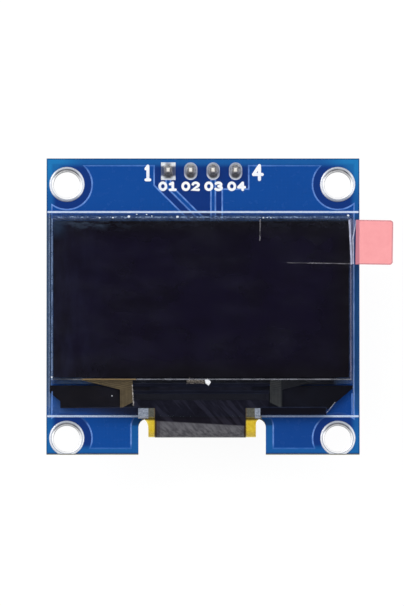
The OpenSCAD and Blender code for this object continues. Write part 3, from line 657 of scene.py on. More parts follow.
@painted
def flex_cover(look):
    """Black cover layer; over the fold a painted sheen shows it grey, and the traces' relief is
    painted as darker and lighter streaks.
    """
    x, y = look.xy()
    slant = y + (x - COVER[0].x) * 0.055
    line = FLEX[0].y + 1.99
    # Painted sheen: where the cover bends round the fold it is painted grey, lighter towards the
    # bottom.
    fold = slant.step(line + 0.06, line - 0.12)
    lower = y.step(line - 0.2, FLEX[0].y + 0.1)
    turned = (0, 0, math.radians(48))
    # Painted shade and highlights of the traces' relief: darker streaks in the grey, lighter ones
    # on the black.
    relief_shade = look.noise(0.36, 4, 0.62, stretch=(4, 1, 1), turn=turned)
    wide = look.noise(0.6, 3, stretch=(7, 1, 1), turn=turned, shift=(2, 3, 0)).step(0.48, 0.62)
    black = look.noise(0.5, 4, 0.6).tones((17, 15, 24), (23, 21, 31))
    black = look.mix(wide * 0.75, black, (40, 38, 50))
    grey = look.mix(lower, (94, 93, 99), (118, 117, 122))
    grey = look.mix(relief_shade.step(0.68, 0.32), grey, (77, 76, 82))
    left, right = (abs(x - edge) for edge in COVER_NECK)
    grey = look.mix(left.step(0.62, 0.5, 0.0, 0.55), grey, (58, 50, 62))
    grey = look.mix(left.least(right).step(0.26, 0.12), grey, (58, 42, 30))
    colour = look.mix(fold * (look.axis("Z") > BOARD[0].z), black, grey)
    normal = look.noise(0.07, 3, 0.7).bump(0.006, 0.4)
    return look.surface(colour, 0.42, normal=normal, specular=0.05)


# ---- Metal ----

def metal(name, dark, bright, rough, size, bumps, metallic=1.0):
    """Tinned or plated metal with cloudy brightness and a slightly uneven skin."""
    look = Look(name)
    spread = 0.18
    colour = look.noise(size, 4, 0.6).tones(dark, bright)
    roughness = look.noise(size * 0.5, 3) * spread + (rough - spread / 2)
    normal = look.noise(size * 0.8, 3, 0.55).bump(bumps, 0.6)
    look.done(look.surface(colour, roughness, metallic, normal))


metal("tinned", (0.42, 0.44, 0.48, 1), (0.74, 0.77, 0.82, 1), 0.4, 0.35, 0.02, 0.6)
metal("solder", (0.36, 0.37, 0.40, 1), (0.74, 0.76, 0.80, 1), 0.27, 0.28, 0.04)
metal("ear_tin", (104, 108, 122), (176, 180, 192), 0.5, 0.16, 0.03, 0.3)


@painted
def hole_rim(look):
    """Tinned ring in painted light: painted shade on its upper side and on the lower side of the
    upper rings, a painted highlight down the lip, a painted shadow as a thin dark arc inside its
    upper side, and painted shade down the barrel.
    """
    x, y = look.xy()
    dx = abs(x) - abs(HOLE.x)
    dy = y - look.math("SIGN", y) * abs(HOLE.y)
    r = look.math("SQRT", dx * dx + dy * dy)
    up = dy / r
    colour = look.noise(0.4, 4, 0.6).tones((0.70, 0.74, 0.84, 1), (0.88, 0.91, 0.97, 1))
    # Painted shade: the ring darkens on its upper side, and on the lower side of the upper rings.
    colour = look.mix(up.step(0.5, 0.9), colour, (0.50, 0.53, 0.60, 1))
    colour = look.mix(up.step(-0.5, -0.9) * (y > 0.0), colour, (0.36, 0.39, 0.48, 1))
    # Painted highlight: the lip is nearly white.
    colour = look.mix(r.step(RING_R - 0.24, RING_R - 0.34), colour, (0.95, 0.96, 0.98, 1))
    patch = look.noise(0.8, 2).step(0.3, 0.6, 0.7, 1.0)
    # Painted shadow: a thin dark arc inside the ring's upper side.
    curve = r.step(RING_R - 0.46, RING_R - 0.36) * r.step(RING_R - 0.2, RING_R - 0.28)
    colour = look.mix(curve * patch * up.step(0.2, 0.75), colour, (0.13, 0.13, 0.15, 1))
    thin = r.step(RING_R - 0.32, RING_R - 0.27) * r.step(RING_R - 0.2, RING_R - 0.24)
    thin = thin * y.step(1.0, -1.0, 0.4, 0.9)
    colour = look.mix(thin * patch, colour, (0.26, 0.28, 0.33, 1))
    # Painted shade down the barrel's wall, darkest halfway down.
    wall = look.sides(0.5, 0.2)
    depth = abs(look.axis("Z") - BOARD_TOP / 2).step(BOARD_TOP / 2 - 0.02, 0.3)
    colour = look.mix(wall * (depth * 0.5 + 0.5), colour, (0.20, 0.205, 0.22, 1))
    return look.surface(colour, 0.4, 0.45 + wall * 0.3, look.noise(0.3, 3, 0.55).bump(0.02, 0.5))


PAD_MIDDLE = middle("header_pad_2").y
PAD_FOOT = box("header_pad_2")[0].y + 0.2


def bright_corners(look, colour):
    """The first, square pad mirrors white in its corners and the dark room at its sides."""
    centre, high = middle("header_pad_1"), box("header_pad_1")[1]
    x, y = look.xy()
    across, along, own = abs(x - centre.x), abs(y - centre.y), x < high.x + 0.3
    ends = across.step(0.15, 0.5) * along.step(0.5, 0.72)
    colour = look.mix(ends * own, colour, (0.88, 0.93, 0.99, 1))
    side = across.step(0.42, 0.58) * along.step(0.62, 0.42)
    return look.mix(side * own * 0.85, colour, (0.055, 0.085, 0.19, 1))


@painted
def pad_tin(look):
    """Tin around the joints: bluish, and whiter along the lower rim as a painted highlight."""
    cloud = look.noise(0.35, 3)
    colour = cloud.tones((0.32, 0.37, 0.50, 1), (0.50, 0.56, 0.70, 1))
    # Painted highlight: whiter along the pad's lower rim.
    lower = look.axis("Y").step(PAD_MIDDLE - 0.2, PAD_FOOT)
    colour = look.mix(lower, colour, (0.74, 0.79, 0.92, 1))
    return look.surface(bright_corners(look, colour), 0.35, 0.5, cloud.bump(0.02, 0.4))


@painted
def joint_solder(look):
    """Solder cone: a silver foot, whiter along its lower rim as a painted highlight, and a
    grey-brown flank with painted shade, darkest on its lower side.
    """
    cloud = look.noise(0.26, 3, 0.6)
    colour = cloud.tones((0.19, 0.18, 0.175, 1), (0.72, 0.70, 0.69, 1), 0.36, 0.64)
    up = look.facing("Y")
    # Painted shade: flanks that face down are darkened most, those that face up less.
    colour = look.mix(up.step(-0.1, -0.7) * 0.85, colour, (0.09, 0.084, 0.08, 1))
    colour = look.mix(up.step(0.2, 0.8) * 0.5, colour, (0.13, 0.125, 0.12, 1))
    foot = look.axis("Z").step(MASK_TOP + 0.13, MASK_TOP + 0.03)
    # Painted highlight: the silver foot is whiter along the pad's lower rim.
    lower = look.axis("Y").step(PAD_MIDDLE, PAD_FOOT)
    silver = look.mix(lower, (0.38, 0.42, 0.50, 1), (0.80, 0.85, 0.95, 1))
    colour = bright_corners(look, look.mix(foot * 0.8, colour, silver))
    return look.surface(colour, 0.3, 0.5, cloud.bump(0.02, 0.4))


@painted
def pin_metal(look):
    """Pale plated pins; the cut tips on the front are white in the middle, with painted shade
    dulling them at the rim.
    """
    cloud = look.noise(0.4, 4, 0.6)
    colour = cloud.tones((0.88, 0.83, 0.74, 1), (1.0, 0.98, 0.94, 1))
    (low, high), (second, _) = box("header_pin_1"), box("header_pin_2")
    x, y = look.xy()
    dx = look.math("PINGPONG", x - ((low.x + high.x) / 2 - 0.02), (second.x - low.x) / 2)
    dy = abs(y - ((low.y + high.y) / 2 + 0.06))
    # Painted shade: the tips darken from the middle towards the rim.
    tip_rim_shade = dx.most(dy * 0.8).step(0.1, 0.25) * (look.axis("Z") > MASK_TOP)
    wear_and_shade = cloud.tones((0.20, 0.18, 0.165, 1), (0.42, 0.39, 0.36, 1))
    return look.surface(look.mix(tip_rim_shade, colour, wear_and_shade), 0.35, 0.35, cloud.bump(0.01, 0.6))


# ---- Bright lines on clear sheets ----

def glint(name, low, high, colour, size):
    """A painted highlight along a clear sheet's edge, stronger in some stretches than in others; it
    also colours the grey-brown residue on the ledge.
    """
    look = Look(name)
    share = look.noise(size, 4, 0.65).step(0.35, 0.68, low, high)
    look.done(look.over_clear(share, look.surface(colour, 0.25)))
    return name


@painted
def film_foot_line(look):
    """The film's lower edge as a painted highlight: faint at the far left, warm over the tracks,
    silver beyond.
    """
    x = look.axis("X")
    share = look.noise(1.7, 4, 0.65).step(0.35, 0.68, 0.32, 0.72)
    share = share * x.step(FILM[0].x + 1.2, FILM[0].x + 3.4, 0.3, 1.0)
    warm = x.step(FILM[0].x + 3.0, FILM[0].x + 3.8) * x.step(BOND[0].x + 0.1, BOND[0].x - 0.1)
    colour = look.mix(warm, (140, 142, 152), (146, 122, 84))
    return look.over_clear(share.most(warm * 0.7), look.surface(colour, 0.25))


# Slots and nodes whose look has a name of its own
SLOT_LOOKS = {"plating": "tinned", "gold_plating": "pin_metal", "metal_tracks": "lit_tracks"}
NODE_LOOKS = {"right_fanout": "shaded_tracks", "front_legend": "line_ink", "cap_glass": "cap_glass",
              "front_glass": "front_glass", "flex_ear_pads": "ear_tin", "pull_tab": "tab_film",
              **{f"header_pad_{i}": "pad_tin" for i in range(1, PINS + 1)}}

for name, node in NODES.items():
    for place in node.material_slots:
        slot_name = place.material.name.split(".")[0]
        place.material = LOOKS[NODE_LOOKS.get(name, SLOT_LOOKS.get(slot_name, slot_name))]


# ---- Mesh pieces ----

END_STEPS = 8
RIM_SIDES = 72
JOINT_SIDES = 48
JOINT_RINGS = 14

# A hole's lip, from the ring's outer edge inwards: millimetres in, and above the ring's face
LIP = ((0.02, 0.0), (0.06, 0.03), (0.11, 0.046), (0.22, 0.05), (0.27, 0.042), (0.31, 0.026),
       (0.35, 0.006), (0.41, -0.018), (0.46, -0.034), (0.485, -0.06), (0.496, -0.3))

# The mask's step over the copper's edge: millimetres outwards, and the share of the copper's level
MASK_STEP = ((0.10, 0.03), (0.07, 0.35), (0.03, 0.95), (-0.02, 1.22), (-0.07, 1.04))

# A bead along a sheet's edge: shares of its width and of its height
BEAD = ((0.25, 0.8), (0.55, 1.0), (0.85, 0.5))


def link(name, data):
    """Puts an object with this data in the scene."""
    made = bpy.data.objects.new(name, data)
    bpy.context.scene.collection.objects.link(made)
    return made


def to_mesh(name, bm):
    """Turns a mesh drawn in millimetres into one in metres."""
    mesh = bpy.data.meshes.new(name)
    bmesh.ops.scale(bm, vec=(MM,) * 3, verts=bm.verts)
    bm.to_mesh(mesh)
    bm.free()
    return mesh


def piece(name, bm, look, smooth=True, open_sheet=False):
    """Makes a named piece; an open sheet is turned to face up."""
    bmesh.ops.recalc_face_normals(bm, faces=bm.faces)
    if open_sheet and sum(f.normal.z * f.calc_area() for f in bm.faces) < 0:
        bmesh.ops.reverse_faces(bm, faces=bm.faces)
    mesh = to_mesh(name, bm)
    mesh.materials.append(LOOKS[look])
    for face in mesh.polygons:
        face.use_smooth = smooth
    made = link(name, mesh)
    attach(made, "root")
    return made


def circle(sides):
    """Cosine and sine of each corner's angle."""
    return [(math.cos(2 * math.pi * k / sides), math.sin(2 * math.pi * k / sides))
            for k in range(sides)]


def loft(rings, closed=True, caps=False, peak=None, bm=None):
    """Quads between rings of equally many points, in a new mesh or added to bm.

    caps closes the first and last ring with a face, peak the last one with a point.
    """
    bm = bm or bmesh.new()
    made = [[bm.verts.new(p) for p in ring] for ring in rings]
    n = len(made[0])
    for a, b in zip(made, made[1:]):
        for i in range(n if closed else n - 1):
            bm.faces.new((a[i], a[(i + 1) % n], b[(i + 1) % n], b[i]))
    if caps:
        bm.faces.new(made[0])
        bm.faces.new(list(reversed(made[-1])))
    if peak:
        top = bm.verts.new(peak)
        for i in range(n):
            bm.faces.new((made[-1][i], made[-1][(i + 1) % n], top))
    return bm


def path_normals(points):
    """Sideways directions of an open path, widened at its corners."""
    found = []
    for i in range(len(points)):
        sides = []
        for a, b in ((i - 1, i), (i, i + 1)):
            if a >= 0 and b < len(points):
                d = (points[b] - points[a]).normalized()
                sides.append(Vector((-d.y, d.x)))
        n = sum(sides, Vector((0, 0))).normalized()
        found.append(n / max(0.55, n.dot(sides[0])))
    return found


def stroke(bm, points, width, low, high):
    """A pen stroke with round ends, raised from one level to another; it may be a closed loop."""
    points = [Vector(p) for p in points]
    half = width / 2
    closed = (points[0] - points[-1]).length < 1e-6
    normals = path_normals(points)
    if closed:
        normals[0] = normals[-1] = (normals[0] + normals[-1]).normalized()
    rows = [(p + n * half, p - n * half) for p, n in zip(points, normals)]
    loft([[(a.x, a.y, low), (a.x, a.y, high), (b.x, b.y, high), (b.x, b.y, low)] for a, b in rows],
         closed=False, bm=bm)
    if closed:
        return
    for end, back in ((points[-1], points[-2]), (points[0], points[1])):
        d = (end - back).normalized()
        side = Vector((-d.y, d.x))
        turns = [math.pi * k / END_STEPS for k in range(END_STEPS + 1)]
        edge = [end + (side * math.cos(a) + d * math.sin(a)) * half for a in turns]
        bottom, top = ([bm.verts.new((p.x, p.y, z)) for p in edge] for z in (low, high))
        bm.faces.new(top)
        for k in range(END_STEPS):
            bm.faces.new((bottom[k], bottom[k + 1], top[k + 1], top[k]))


def arc(cx, cy, rx, ry, start, end, steps):
    """Points of an elliptical arc between two angles in degrees."""
    turns = [math.radians(start + (end - start) * k / steps) for k in range(steps + 1)]
    return [(cx + rx * math.cos(a), cy + ry * math.sin(a)) for a in turns]


# Strokes of the digits in a unit square
DIGITS = {
    "0": [arc(0.5, 0.5, 0.5, 0.5, 0, 360, 28)],
    "1": [[(0.1, 0.8), (0.52, 1.0)], [(0.52, 1.0), (0.52, 0.02)], [(0.1, 0.0), (0.94, 0.0)]],
    "2": [arc(0.5, 0.7, 0.46, 0.3, 165, -35, 9) + [(0.04, 0.0), (0.98, 0.0)]],
    "3": [arc(0.46, 0.76, 0.44, 0.25, 150, -85, 9), arc(0.46, 0.25, 0.5, 0.26, 80, -150, 9)],
    "4": [[(0.68, 0.0), (0.68, 1.0)], [(0.68, 1.0), (0.0, 0.36)], [(0.0, 0.36), (1.0, 0.36)]],
}


def number(name, text, low, high, pen):
    """Printed digits that fill a rectangle from corner to corner."""
    bm = bmesh.new()
    low, high = Vector(low), Vector(high)
    gap = 0.1
    w = (high.x - low.x - gap * (len(text) - 1)) / len(text) - pen
    h = high.y - low.y - pen
    for i, digit in enumerate(text):
        x = low.x + pen / 2 + i * (w + pen + gap)
        for k, line in enumerate(DIGITS[digit]):
            level = MASK_TOP + 0.024 + 0.003 * k
            path = [(x + px * w, low.y + pen / 2 + py * h) for px, py in line]
            stroke(bm, path, pen, BOARD_TOP, level)
    piece(name, bm, "white_ink", smooth=False)


def copper_edges(source, up):
    """Edges between the copper's outer face and its walls, with each corner's wall directions."""
    pads = [box(f"header_pad_{i}") for i in range(1, PINS + 1)]
    edges, sides = [], {}
    for edge in source.edges:
        flats = [f for f in edge.link_faces if f.normal.z * up > 0.9]
        walls = [f for f in edge.link_faces if abs(f.normal.z) < 0.1]
        if len(edge.link_faces) != 2 or len(flats) != 1 or len(walls) != 1:
            continue
        mid = (edge.verts[0].co + edge.verts[1].co) / 2
        if any(low.x - 0.04 < mid.x < high.x + 0.04 and low.y - 0.04 < mid.y < high.y + 0.04
               for low, high in pads):
            continue
        for v in edge.verts:
            sides.setdefault(v, []).append(walls[0].normal.to_2d())
        edges.append(edge)
    return edges, sides


def mask_edges(name, node, up):
    """A rounded step of solder mask along the copper's edges, except round the header pads."""
    source = bmesh.new()
    source.from_mesh(NODES[node].data)
    bmesh.ops.scale(source, vec=(1 / MM,) * 3, verts=source.verts)
    bmesh.ops.remove_doubles(source, verts=source.verts, dist=1e-4)
    source.normal_update()
    edges, corner_sides = copper_edges(source, up)
    ground = BOARD_TOP if up > 0 else BOARD[0].z
    rise = (MASK_TOP - BOARD_TOP) * up
    bm = bmesh.new()
    made = {}
    for v, sides in corner_sides.items():
        n = sum(sides, Vector((0, 0)))
        n = n.normalized() if n.length > 1e-6 else sides[0]
        n = n / max(0.6, n.dot(sides[0].normalized()))
        made[v] = [bm.verts.new((v.co.x + n.x * s, v.co.y + n.y * s, ground + rise * t))
                   for s, t in MASK_STEP]
    for edge in edges:
        a, b = (made[v] for v in edge.verts)
        for k in range(len(MASK_STEP) - 1):
            bm.faces.new((a[k], b[k], b[k + 1], a[k + 1]))
    source.free()
    piece(name, bm, "mask_edge")


def rim(i):
    """The tinned ring and barrel of a mounting hole, with a rounded lip on both faces."""
    low, high = box(f"mounting_ring_{i}")
    ring_r = (high.x - low.x) / 2
    x = (low.x + high.x) / 2
    y = high.y - ring_r
    front = [(ring_r, BOARD_TOP)] + [(ring_r - inward, high.z + rise) for inward, rise in LIP]
    back = [(ring_r, BOARD[0].z)] + [(ring_r - inward, low.z - rise) for inward, rise in LIP]
    rings = []
    for r, z in front + back[::-1]:
        row = []
        for c, s in circle(RIM_SIDES):
            wave = 0.006 * noise.noise(Vector((c * 3 + i * 9, s * 3, r * 4 + z)))
            row.append((x + r * c, y + r * s, z + wave * (r < ring_r)))
        rings.append(row)
    bm = loft(rings)
    if y - ring_r < BOARD[0].y:
        bmesh.ops.bisect_plane(bm, geom=bm.verts[:] + bm.edges[:] + bm.faces[:],
                               plane_co=(0, BOARD[0].y, 0), plane_no=(0, -1, 0), clear_outer=True)
    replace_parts(piece(f"hole_rim_{i}", bm, "hole_rim"), f"mounting_ring_{i}")


def solder_joint(i):
    """Solder that wets the whole pad and climbs the pin in a concave slope."""
    pad_low, pad_high = box(f"header_pad_{i}")
    centre = middle(f"header_pin_{i}")
    face = pad_high.z
    height = box(f"header_solder_{i}")[1].z - face
    half = (pad_high - pad_low) / 2 - Vector((0.1, 0.1, 0))
    square = 5.0 if i == 1 else 2.6
    top_r = 0.40
    rings = []
    for k in range(JOINT_RINGS + 1):
        t = k / JOINT_RINGS
        spread = (1 - t) ** 2.4
        power = 2 + (square - 2) * spread
        rx = top_r + (half.x - top_r) * spread
        ry = top_r + (half.y - top_r) * spread
        level = face - 0.02 + height * t ** 1.15
        row = []
        for c, d in circle(JOINT_SIDES):
            m = (abs(c) ** power + abs(d) ** power) ** (-1 / power)
            lump = noise.noise(Vector((c * 1.6 + i * 5, d * 1.6, t * 3)))
            m *= 1 + 0.05 * (1 - abs(2 * t - 1)) * lump
            row.append((centre.x + m * c * rx, centre.y + m * d * ry, level))
        rings.append(row)
    bm = loft(rings, peak=(centre.x, centre.y, face + height))
    joint = piece(f"solder_joint_{i}", bm, "joint_solder")
    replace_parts(joint, f"header_solder_{i}")


def sheet_edge(name, points, width, level, height, look):
    """A low rounded bead to the left of a path, or to its right with a width below 0."""
    points = [Vector(p) for p in points]
    normals = path_normals(points)
    profile = [(0.0, 0.002)] + [(width * s, height * t) for s, t in BEAD] + [(width, 0.002)]
    bm = loft([[(p.x + n.x * s, p.y + n.y * s, level + z) for p, n in zip(points, normals)]
               for s, z in profile], closed=False)
    piece(name, bm, look, open_sheet=True)


def edge_line(name, a, b, width, level, look, steps=40, swing=0.02, height=0.03, seed=1.0):
    """A bright bead to the left of the way from a to b, which wanders sideways a little."""
    a, b = Vector(a), Vector(b)
    side = Vector((a.y - b.y, b.x - a.x)).normalized()
    path = [a.lerp(b, k / steps) + side * swing * noise.noise(Vector((k * 0.45, seed, 0)))
            for k in range(steps + 1)]
    sheet_edge(name, path, width, level, height, look)


def blob(name, x, y, level, rx, ry, height, seed):
    """A small irregular bead lying on a clear surface, bright as a painted highlight."""
    sides = 9
    waves = [1 + 0.3 * noise.noise(Vector((k * 1.7, seed, x))) for k in range(sides)]
    rings = []
    for t in (0.0, 0.45, 0.8):
        r = math.cos(t * math.pi / 2)
        z = level + height * math.sin(t * math.pi / 2)
        rings.append([(x + rx * r * s * w, y - ry * r * c * w, z)
                      for (c, s), w in zip(circle(sides), waves)])
    bm = loft(rings, peak=(x, y, level + height))
    piece(name, bm, SPARKLE)


# ---- Board: mask, rings, joints and printed numbers ----

mask_edges("mask_edges_front", "front_copper", 1)
mask_edges("mask_edges_back", "back_copper", -1)
for i in range(1, HOLES + 1):
    rim(i)
for i in range(1, PINS + 1):
    solder_joint(i)

# The end pins' numbers
pad_low, pad_high = box("header_pad_1")
last_right = box(f"header_pad_{PINS}")[1].x
row_top = pad_high.y - 0.25
number("pin_mark_first", "1", (pad_low.x - 1.92, row_top - 1.9), (pad_low.x - 1.06, row_top), 0.34)
number("pin_mark_last", str(PINS), (last_right + 1.10, row_top - 1.87),
       (last_right + 2.44, row_top + 0.06), 0.36)

# A plain number below each pad
for i in range(1, PINS + 1):
    low, high = box(f"header_pad_{i}")
    mid = (low.x + high.x) / 2 + 0.06 * (i - 2)
    number(f"pad_label_{i}", f"0{i}", (mid - 1.06, low.y - 1.26), (mid + 1.06, low.y - 0.17), 0.3)


# ---- Films: bright edges, the tab's crease, and air under the film ----

GLASS_LINE = glint("glass_line", 0.3, 0.55, (140, 164, 200), 2.0)
TAB_LINE = glint("tab_line", 0.1, 0.6, (150, 148, 156), 1.3)
CREASE_LINE = glint("crease_line", 0.5, 0.9, (204, 208, 236), 1.1)
EDGE_BLUE = glint("glass_edge_blue", 0.5, 0.8, (96, 144, 222), 3.0)
SPARKLE = glint("sparkle", 0.85, 1.0, (236, 242, 250), 0.3)
f0, f1 = FILM
g0, g1 = GLASS
film_top = f1.z
glass_top = g1.z

edge_line("film_edge_left", (f0.x + 0.19, f0.y), (f0.x + 0.19, f1.y), 0.15, film_top,
          glint("film_line", 0.3, 0.7, (126, 152, 196), 1.4))
edge_line("film_edge_right", (f1.x, f0.y), (f1.x, f1.y), 0.17, film_top,
          glint("film_band", 0.3, 0.5, (130, 128, 164), 2.4))
edge_line("film_edge_top", (f0.x, f1.y - 0.09), (f1.x, f1.y - 0.09), 0.08, film_top,
          glint("film_top_line", 0.04, 0.5, (120, 136, 176), 0.8))
edge_line("film_edge_foot", (f0.x, f0.y), (f1.x, f0.y), 0.14, film_top, "film_foot_line",
          swing=0.03)
for side, x in (("left", g0.x + 0.12), ("right", g1.x)):
    edge_line(f"glass_edge_{side}", (x, g0.y), (x, g1.y), 0.1, glass_top, GLASS_LINE, height=0.015)
# A painted highlight that wanders along just above the film's top edge.
edge_line("top_edge_highlight_line", (f0.x + 0.3, f1.y + 0.1), (f1.x - 0.2, f1.y + 0.1), 0.13, glass_top,
          glint("glue_line", 0.05, 0.75, (150, 172, 206), 0.45), 160, 0.09, 0.02, 5.0)

# Air and glue specks along the film's upper edge, drawn as painted highlights: along the edge,
# above it, and how large
SPECKS = ((-11.6, 0.1, 0.07), (-10.1, 0.12, 0.08), (-8.3, 0.22, 0.14), (-7.4, 0.5, 0.06),
          (-6.3, 0.48, 0.07), (-5.7, 0.3, 0.06), (-2.8, 0.2, 0.13), (6.9, 0.1, 0.07),
          (7.35, 0.12, 0.06), (7.75, 0.1, 0.06), (16.5, 0.36, 0.11))
for k, (x, rise, size) in enumerate(SPECKS):
    blob(f"glue_speck_{k + 1}", x, f1.y + rise, glass_top, size * 1.3, size, 0.04, k)

# The pull tab: its faint outline on the film, and the crease where it leaves the film
tab_turn = math.radians(-0.9)
tab_h = (GRIP[1].y - GRIP[0].y) - abs(math.sin(tab_turn)) * (GRIP[1].x - GRIP[0].x)
tab_corner = Vector((TAB[1].x, GRIP[0].y + tab_h))
tab_top = TAB[1].z
left = TAB[0].x + 0.12


def on_tab(x, down):
    """A place on the tab: x in the row frame, and the share of its height from the top."""
    reach = tab_corner.x - x
    return (x + math.sin(tab_turn) * down * tab_h,
            tab_corner.y - math.sin(tab_turn) * reach - down * tab_h)


def tab_line(name, a, b, width, look, steps, swing, seed=1.0):
    """A bright bead between two places on the tab."""
    edge_line(f"tab_{name}", on_tab(*a), on_tab(*b), width, tab_top, look, steps, swing, seed=seed)


tab_line("edge_left", (left + 0.1, 0.5), (left + 0.1, 0.02), 0.1, TAB_LINE, 30, 0.05)
tab_line("edge_foot", (left + 3.2, 1.0), (f1.x + 0.1, 1.0), 0.11, TAB_LINE, 40, 0.04, 3.0)
tab_line("crease_left", (f1.x + 0.2, 1.0), (f1.x - 0.14, 0.0), 0.2, CREASE_LINE, 24, 0.03)
tab_line("crease_low", (f1.x + 0.36, 0.99), (f1.x + 0.26, 0.4), 0.13, CREASE_LINE, 16, 0.03)
tab_line("crease_high", (f1.x + 0.26, 0.4), (f1.x + 0.6, 0.02), 0.11, CREASE_LINE, 16, 0.02)
band = []
for k in range(13):
    t = k / 12
    ends = (f1.x - 0.3 + 0.4 * t, f1.x + 0.5 - 0.28 * min(1, t / 0.4))
    band.append([(*on_tab(x, t), tab_top + 0.006) for x in ends])
CREASE_BAND = glint("crease_band", 0.2, 0.4, (130, 138, 180), 1.6)
piece("tab_crease_band", loft(band, closed=False), CREASE_BAND, smooth=False,
      open_sheet=True)

# The grip's cut edge reads a little darker than its face
corner_r = 0.35
corner_steps = 5
outline = [on_tab(GRIP[0].x + 0.3, 0.0)]
for down, start in ((0.0, 90), (1.0, 0)):
    px, py = on_tab(TAB[1].x - corner_r, down)
    py += corner_r if down else -corner_r
    for k in range(corner_steps + 1):
        a = math.radians(start - 90 * k / corner_steps)
        outline.append((px + corner_r * math.cos(a), py + corner_r * math.sin(a)))
outline.append(on_tab(GRIP[0].x + 0.3, 1.0))
sheet_edge("grip_edge", outline, -0.13, GRIP[1].z, 0.004,
           glint("pink_line", 0.5, 0.7, (186, 128, 136), 1.5))


# ---- The ledge below the film ----

# A crumb on the ledge, painted white as a highlight.
CRUMB = ((-0.36, 0.33), (0.02, 0.4), (0.37, 0.02), (0.1, -0.42), (-0.26, -0.14))
bm = loft([[(0.62 + px * t, f0.y - 0.24 + py * t, glass_top + h) for px, py in CRUMB]
           for t, h in ((1.0, 0.0), (0.92, 0.1), (0.5, 0.16))], caps=True)
piece("crumb_highlight", bm, glint("crumb", 0.96, 1.0, (0.97, 0.98, 1.0, 1), 0.3),
      smooth=False)
edge_line("glue_residue", (-1.8, f0.y - 0.42), (0.25, f0.y - 0.42), 0.4, glass_top,
          glint("residue", 0.1, 0.75, (128, 120, 112), 0.28), 60, 0.1, 0.02, 8.0)
blob("speck_left", f0.x + 0.1, f0.y + 0.3, film_top, 0.1, 0.12, 0.05, 4)
blob("speck_ledge", -10.2, -9.7, glass_top, 0.07, 0.07, 0.03, 5)
edge_line("shade_cut_line", (14.1, SHADE[0].y - 0.25), (15.05, SHADE[0].y + 0.95), 0.1, glass_top,
          glint("cut_line", 0.25, 0.7, (150, 156, 170), 0.8), 16)


def neck_fillet(name, x, side, rx, ry):
    """The rounded corner between an ear of the tail and its neck."""
    y = EARS[0].y
    turns = [math.pi / 2 * k / 10 for k in range(11)]
    outline = [(x + side * rx * (1 - math.sin(a)), y - ry * (1 - math.cos(a))) for a in turns]
    outline += [(x - side * 0.01, y - ry), (x - side * 0.01, y)]
    z = level_of("display_flex", x - side * 0.2, y - 0.1)
    bm = loft([[(px, py, level) for px, py in outline] for level in (z - 0.1, z)], caps=True)
    piece(name, bm, "polyimide", smooth=False)


neck_fillet("neck_fillet_left", FLEX_NECK[0], -1, 0.74, 1.15)
neck_fillet("neck_fillet_right", FLEX_NECK[1], 1, 0.7, 0.6)
for side, x, start, gap in (("left", f0.x + 0.2, 0.35, 0.8), ("right", f1.x + 0.12, 0.2, 1.0)):
    edge_line(f"ledge_line_{side}", (x, g0.y + start), (x, CAP[0].y - gap), 0.13, glass_top,
              EDGE_BLUE, 12)
edge_line("bond_end_line", (BOND[0].x - 0.24, BOND[0].y - 0.75), (BOND[0].x - 0.4, CHIP[1].y + 0.1),
          0.13, glass_top, glint("bond_end", 0.1, 0.85, (214, 208, 204), 0.5), 20, 0.05)


# ---- Light, floor and camera ----

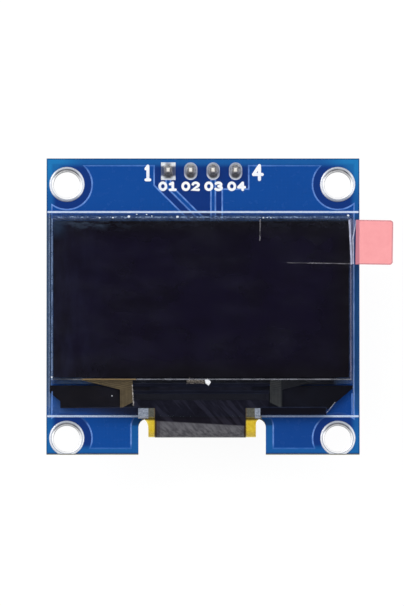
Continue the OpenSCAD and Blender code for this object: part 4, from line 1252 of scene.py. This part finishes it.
def make_floor():
    """A floor that looks white with a faint shadow on it, and is clear from below."""
    level = CAD_BOX[0][2] / MM - 0.03
    size = 1500
    floor = link("floor", to_mesh("floor", loft([[(x, y, level) for x in (-size, size)]
                                                for y in (-size, size)], closed=False)))
    material = bpy.data.materials.new("floor")
    tree = Tree(material, "OutputMaterial")
    path = tree.node("LightPath").outputs
    seen = Value(tree, path["Is Camera Ray"])
    for other in ("Is Glossy Ray", "Is Transmission Ray"):
        seen = seen.most(path[other])
    plain = tree.join("BsdfDiffuse", (0.8, 0.8, 0.8, 1))
    faint = tree.join("BsdfDiffuse", (0.13, 0.13, 0.13, 1))
    both = tree.join("AddShader", faint, tree.join("Emission", WHITE, 0.92))
    face = tree.join("MixShader", seen, plain, both)
    below = tree.node("NewGeometry").outputs["Backfacing"]
    surface = tree.join("MixShader", below, face, tree.join("BsdfTransparent"))
    tree.put(tree.out.inputs["Surface"], surface)
    floor.data.materials.append(material)


def make_world():
    """A white studio: darker straight above, where the camera stands, and brighter around it."""
    world = bpy.data.worlds.new("studio")
    bpy.context.scene.world = world
    tree = Tree(world, "OutputWorld")
    direction = tree.node("TexCoord").outputs["Generated"]
    levels = ((0.0, 0.5), (0.5, 0.6), (0.72, 0.95), (0.93, 1.0), (0.965, 0.6), (0.985, 0.05))
    bright = tree.ramp(tree.part(direction, "Z"), *((at, (v, v, v, 1)) for at, v in levels))
    front = tree.part(direction, "Y").step(-0.75, -0.12, 0.3, 1.12)
    light = tree.join("Background", bright, front)
    white = tree.join("Background", WHITE)
    camera = tree.node("LightPath").outputs["Is Camera Ray"]
    tree.put(tree.out.inputs["Surface"], tree.join("MixShader", camera, light, white))


def lamp(name, direction, distance, size, radiance):
    """A round lamp that faces the origin."""
    data = bpy.data.lights.new(name, "AREA")
    data.shape = "DISK"
    data.size = size
    data.energy = radiance * (math.pi * size / 2) ** 2
    made = link(name, data)
    d = Vector(direction).normalized()
    made.location = d * distance
    made.rotation_euler = d.to_track_quat("Z", "Y").to_euler()


def make_camera():
    """The reference view: a long lens a little below straight on."""
    view_h = 0.06854
    tilt = math.radians(4.5)
    data = bpy.data.cameras.new("camera")
    data.lens = 900
    data.sensor_width = 36
    data.clip_end = 10
    distance = view_h * data.lens / data.sensor_width
    made = link("camera", data)
    centre = middle("circuit_board")
    aim = Vector((centre.x - 0.113, centre.y + 0.34, BOARD_TOP)) * MM
    made.location = aim + Vector((0, -math.sin(tilt), math.cos(tilt))) * distance
    made.rotation_euler = (tilt, 0, 0)
    bpy.context.scene.camera = made


make_floor()
make_world()
lamp("key", (-0.5, 0.42, 0.8), 0.45, 0.22, 4.4)
lamp("fill", (0.6, -0.15, 0.75), 0.5, 0.24, 2.4)
make_camera()
bpy.context.scene.view_settings.view_transform = "Standard"
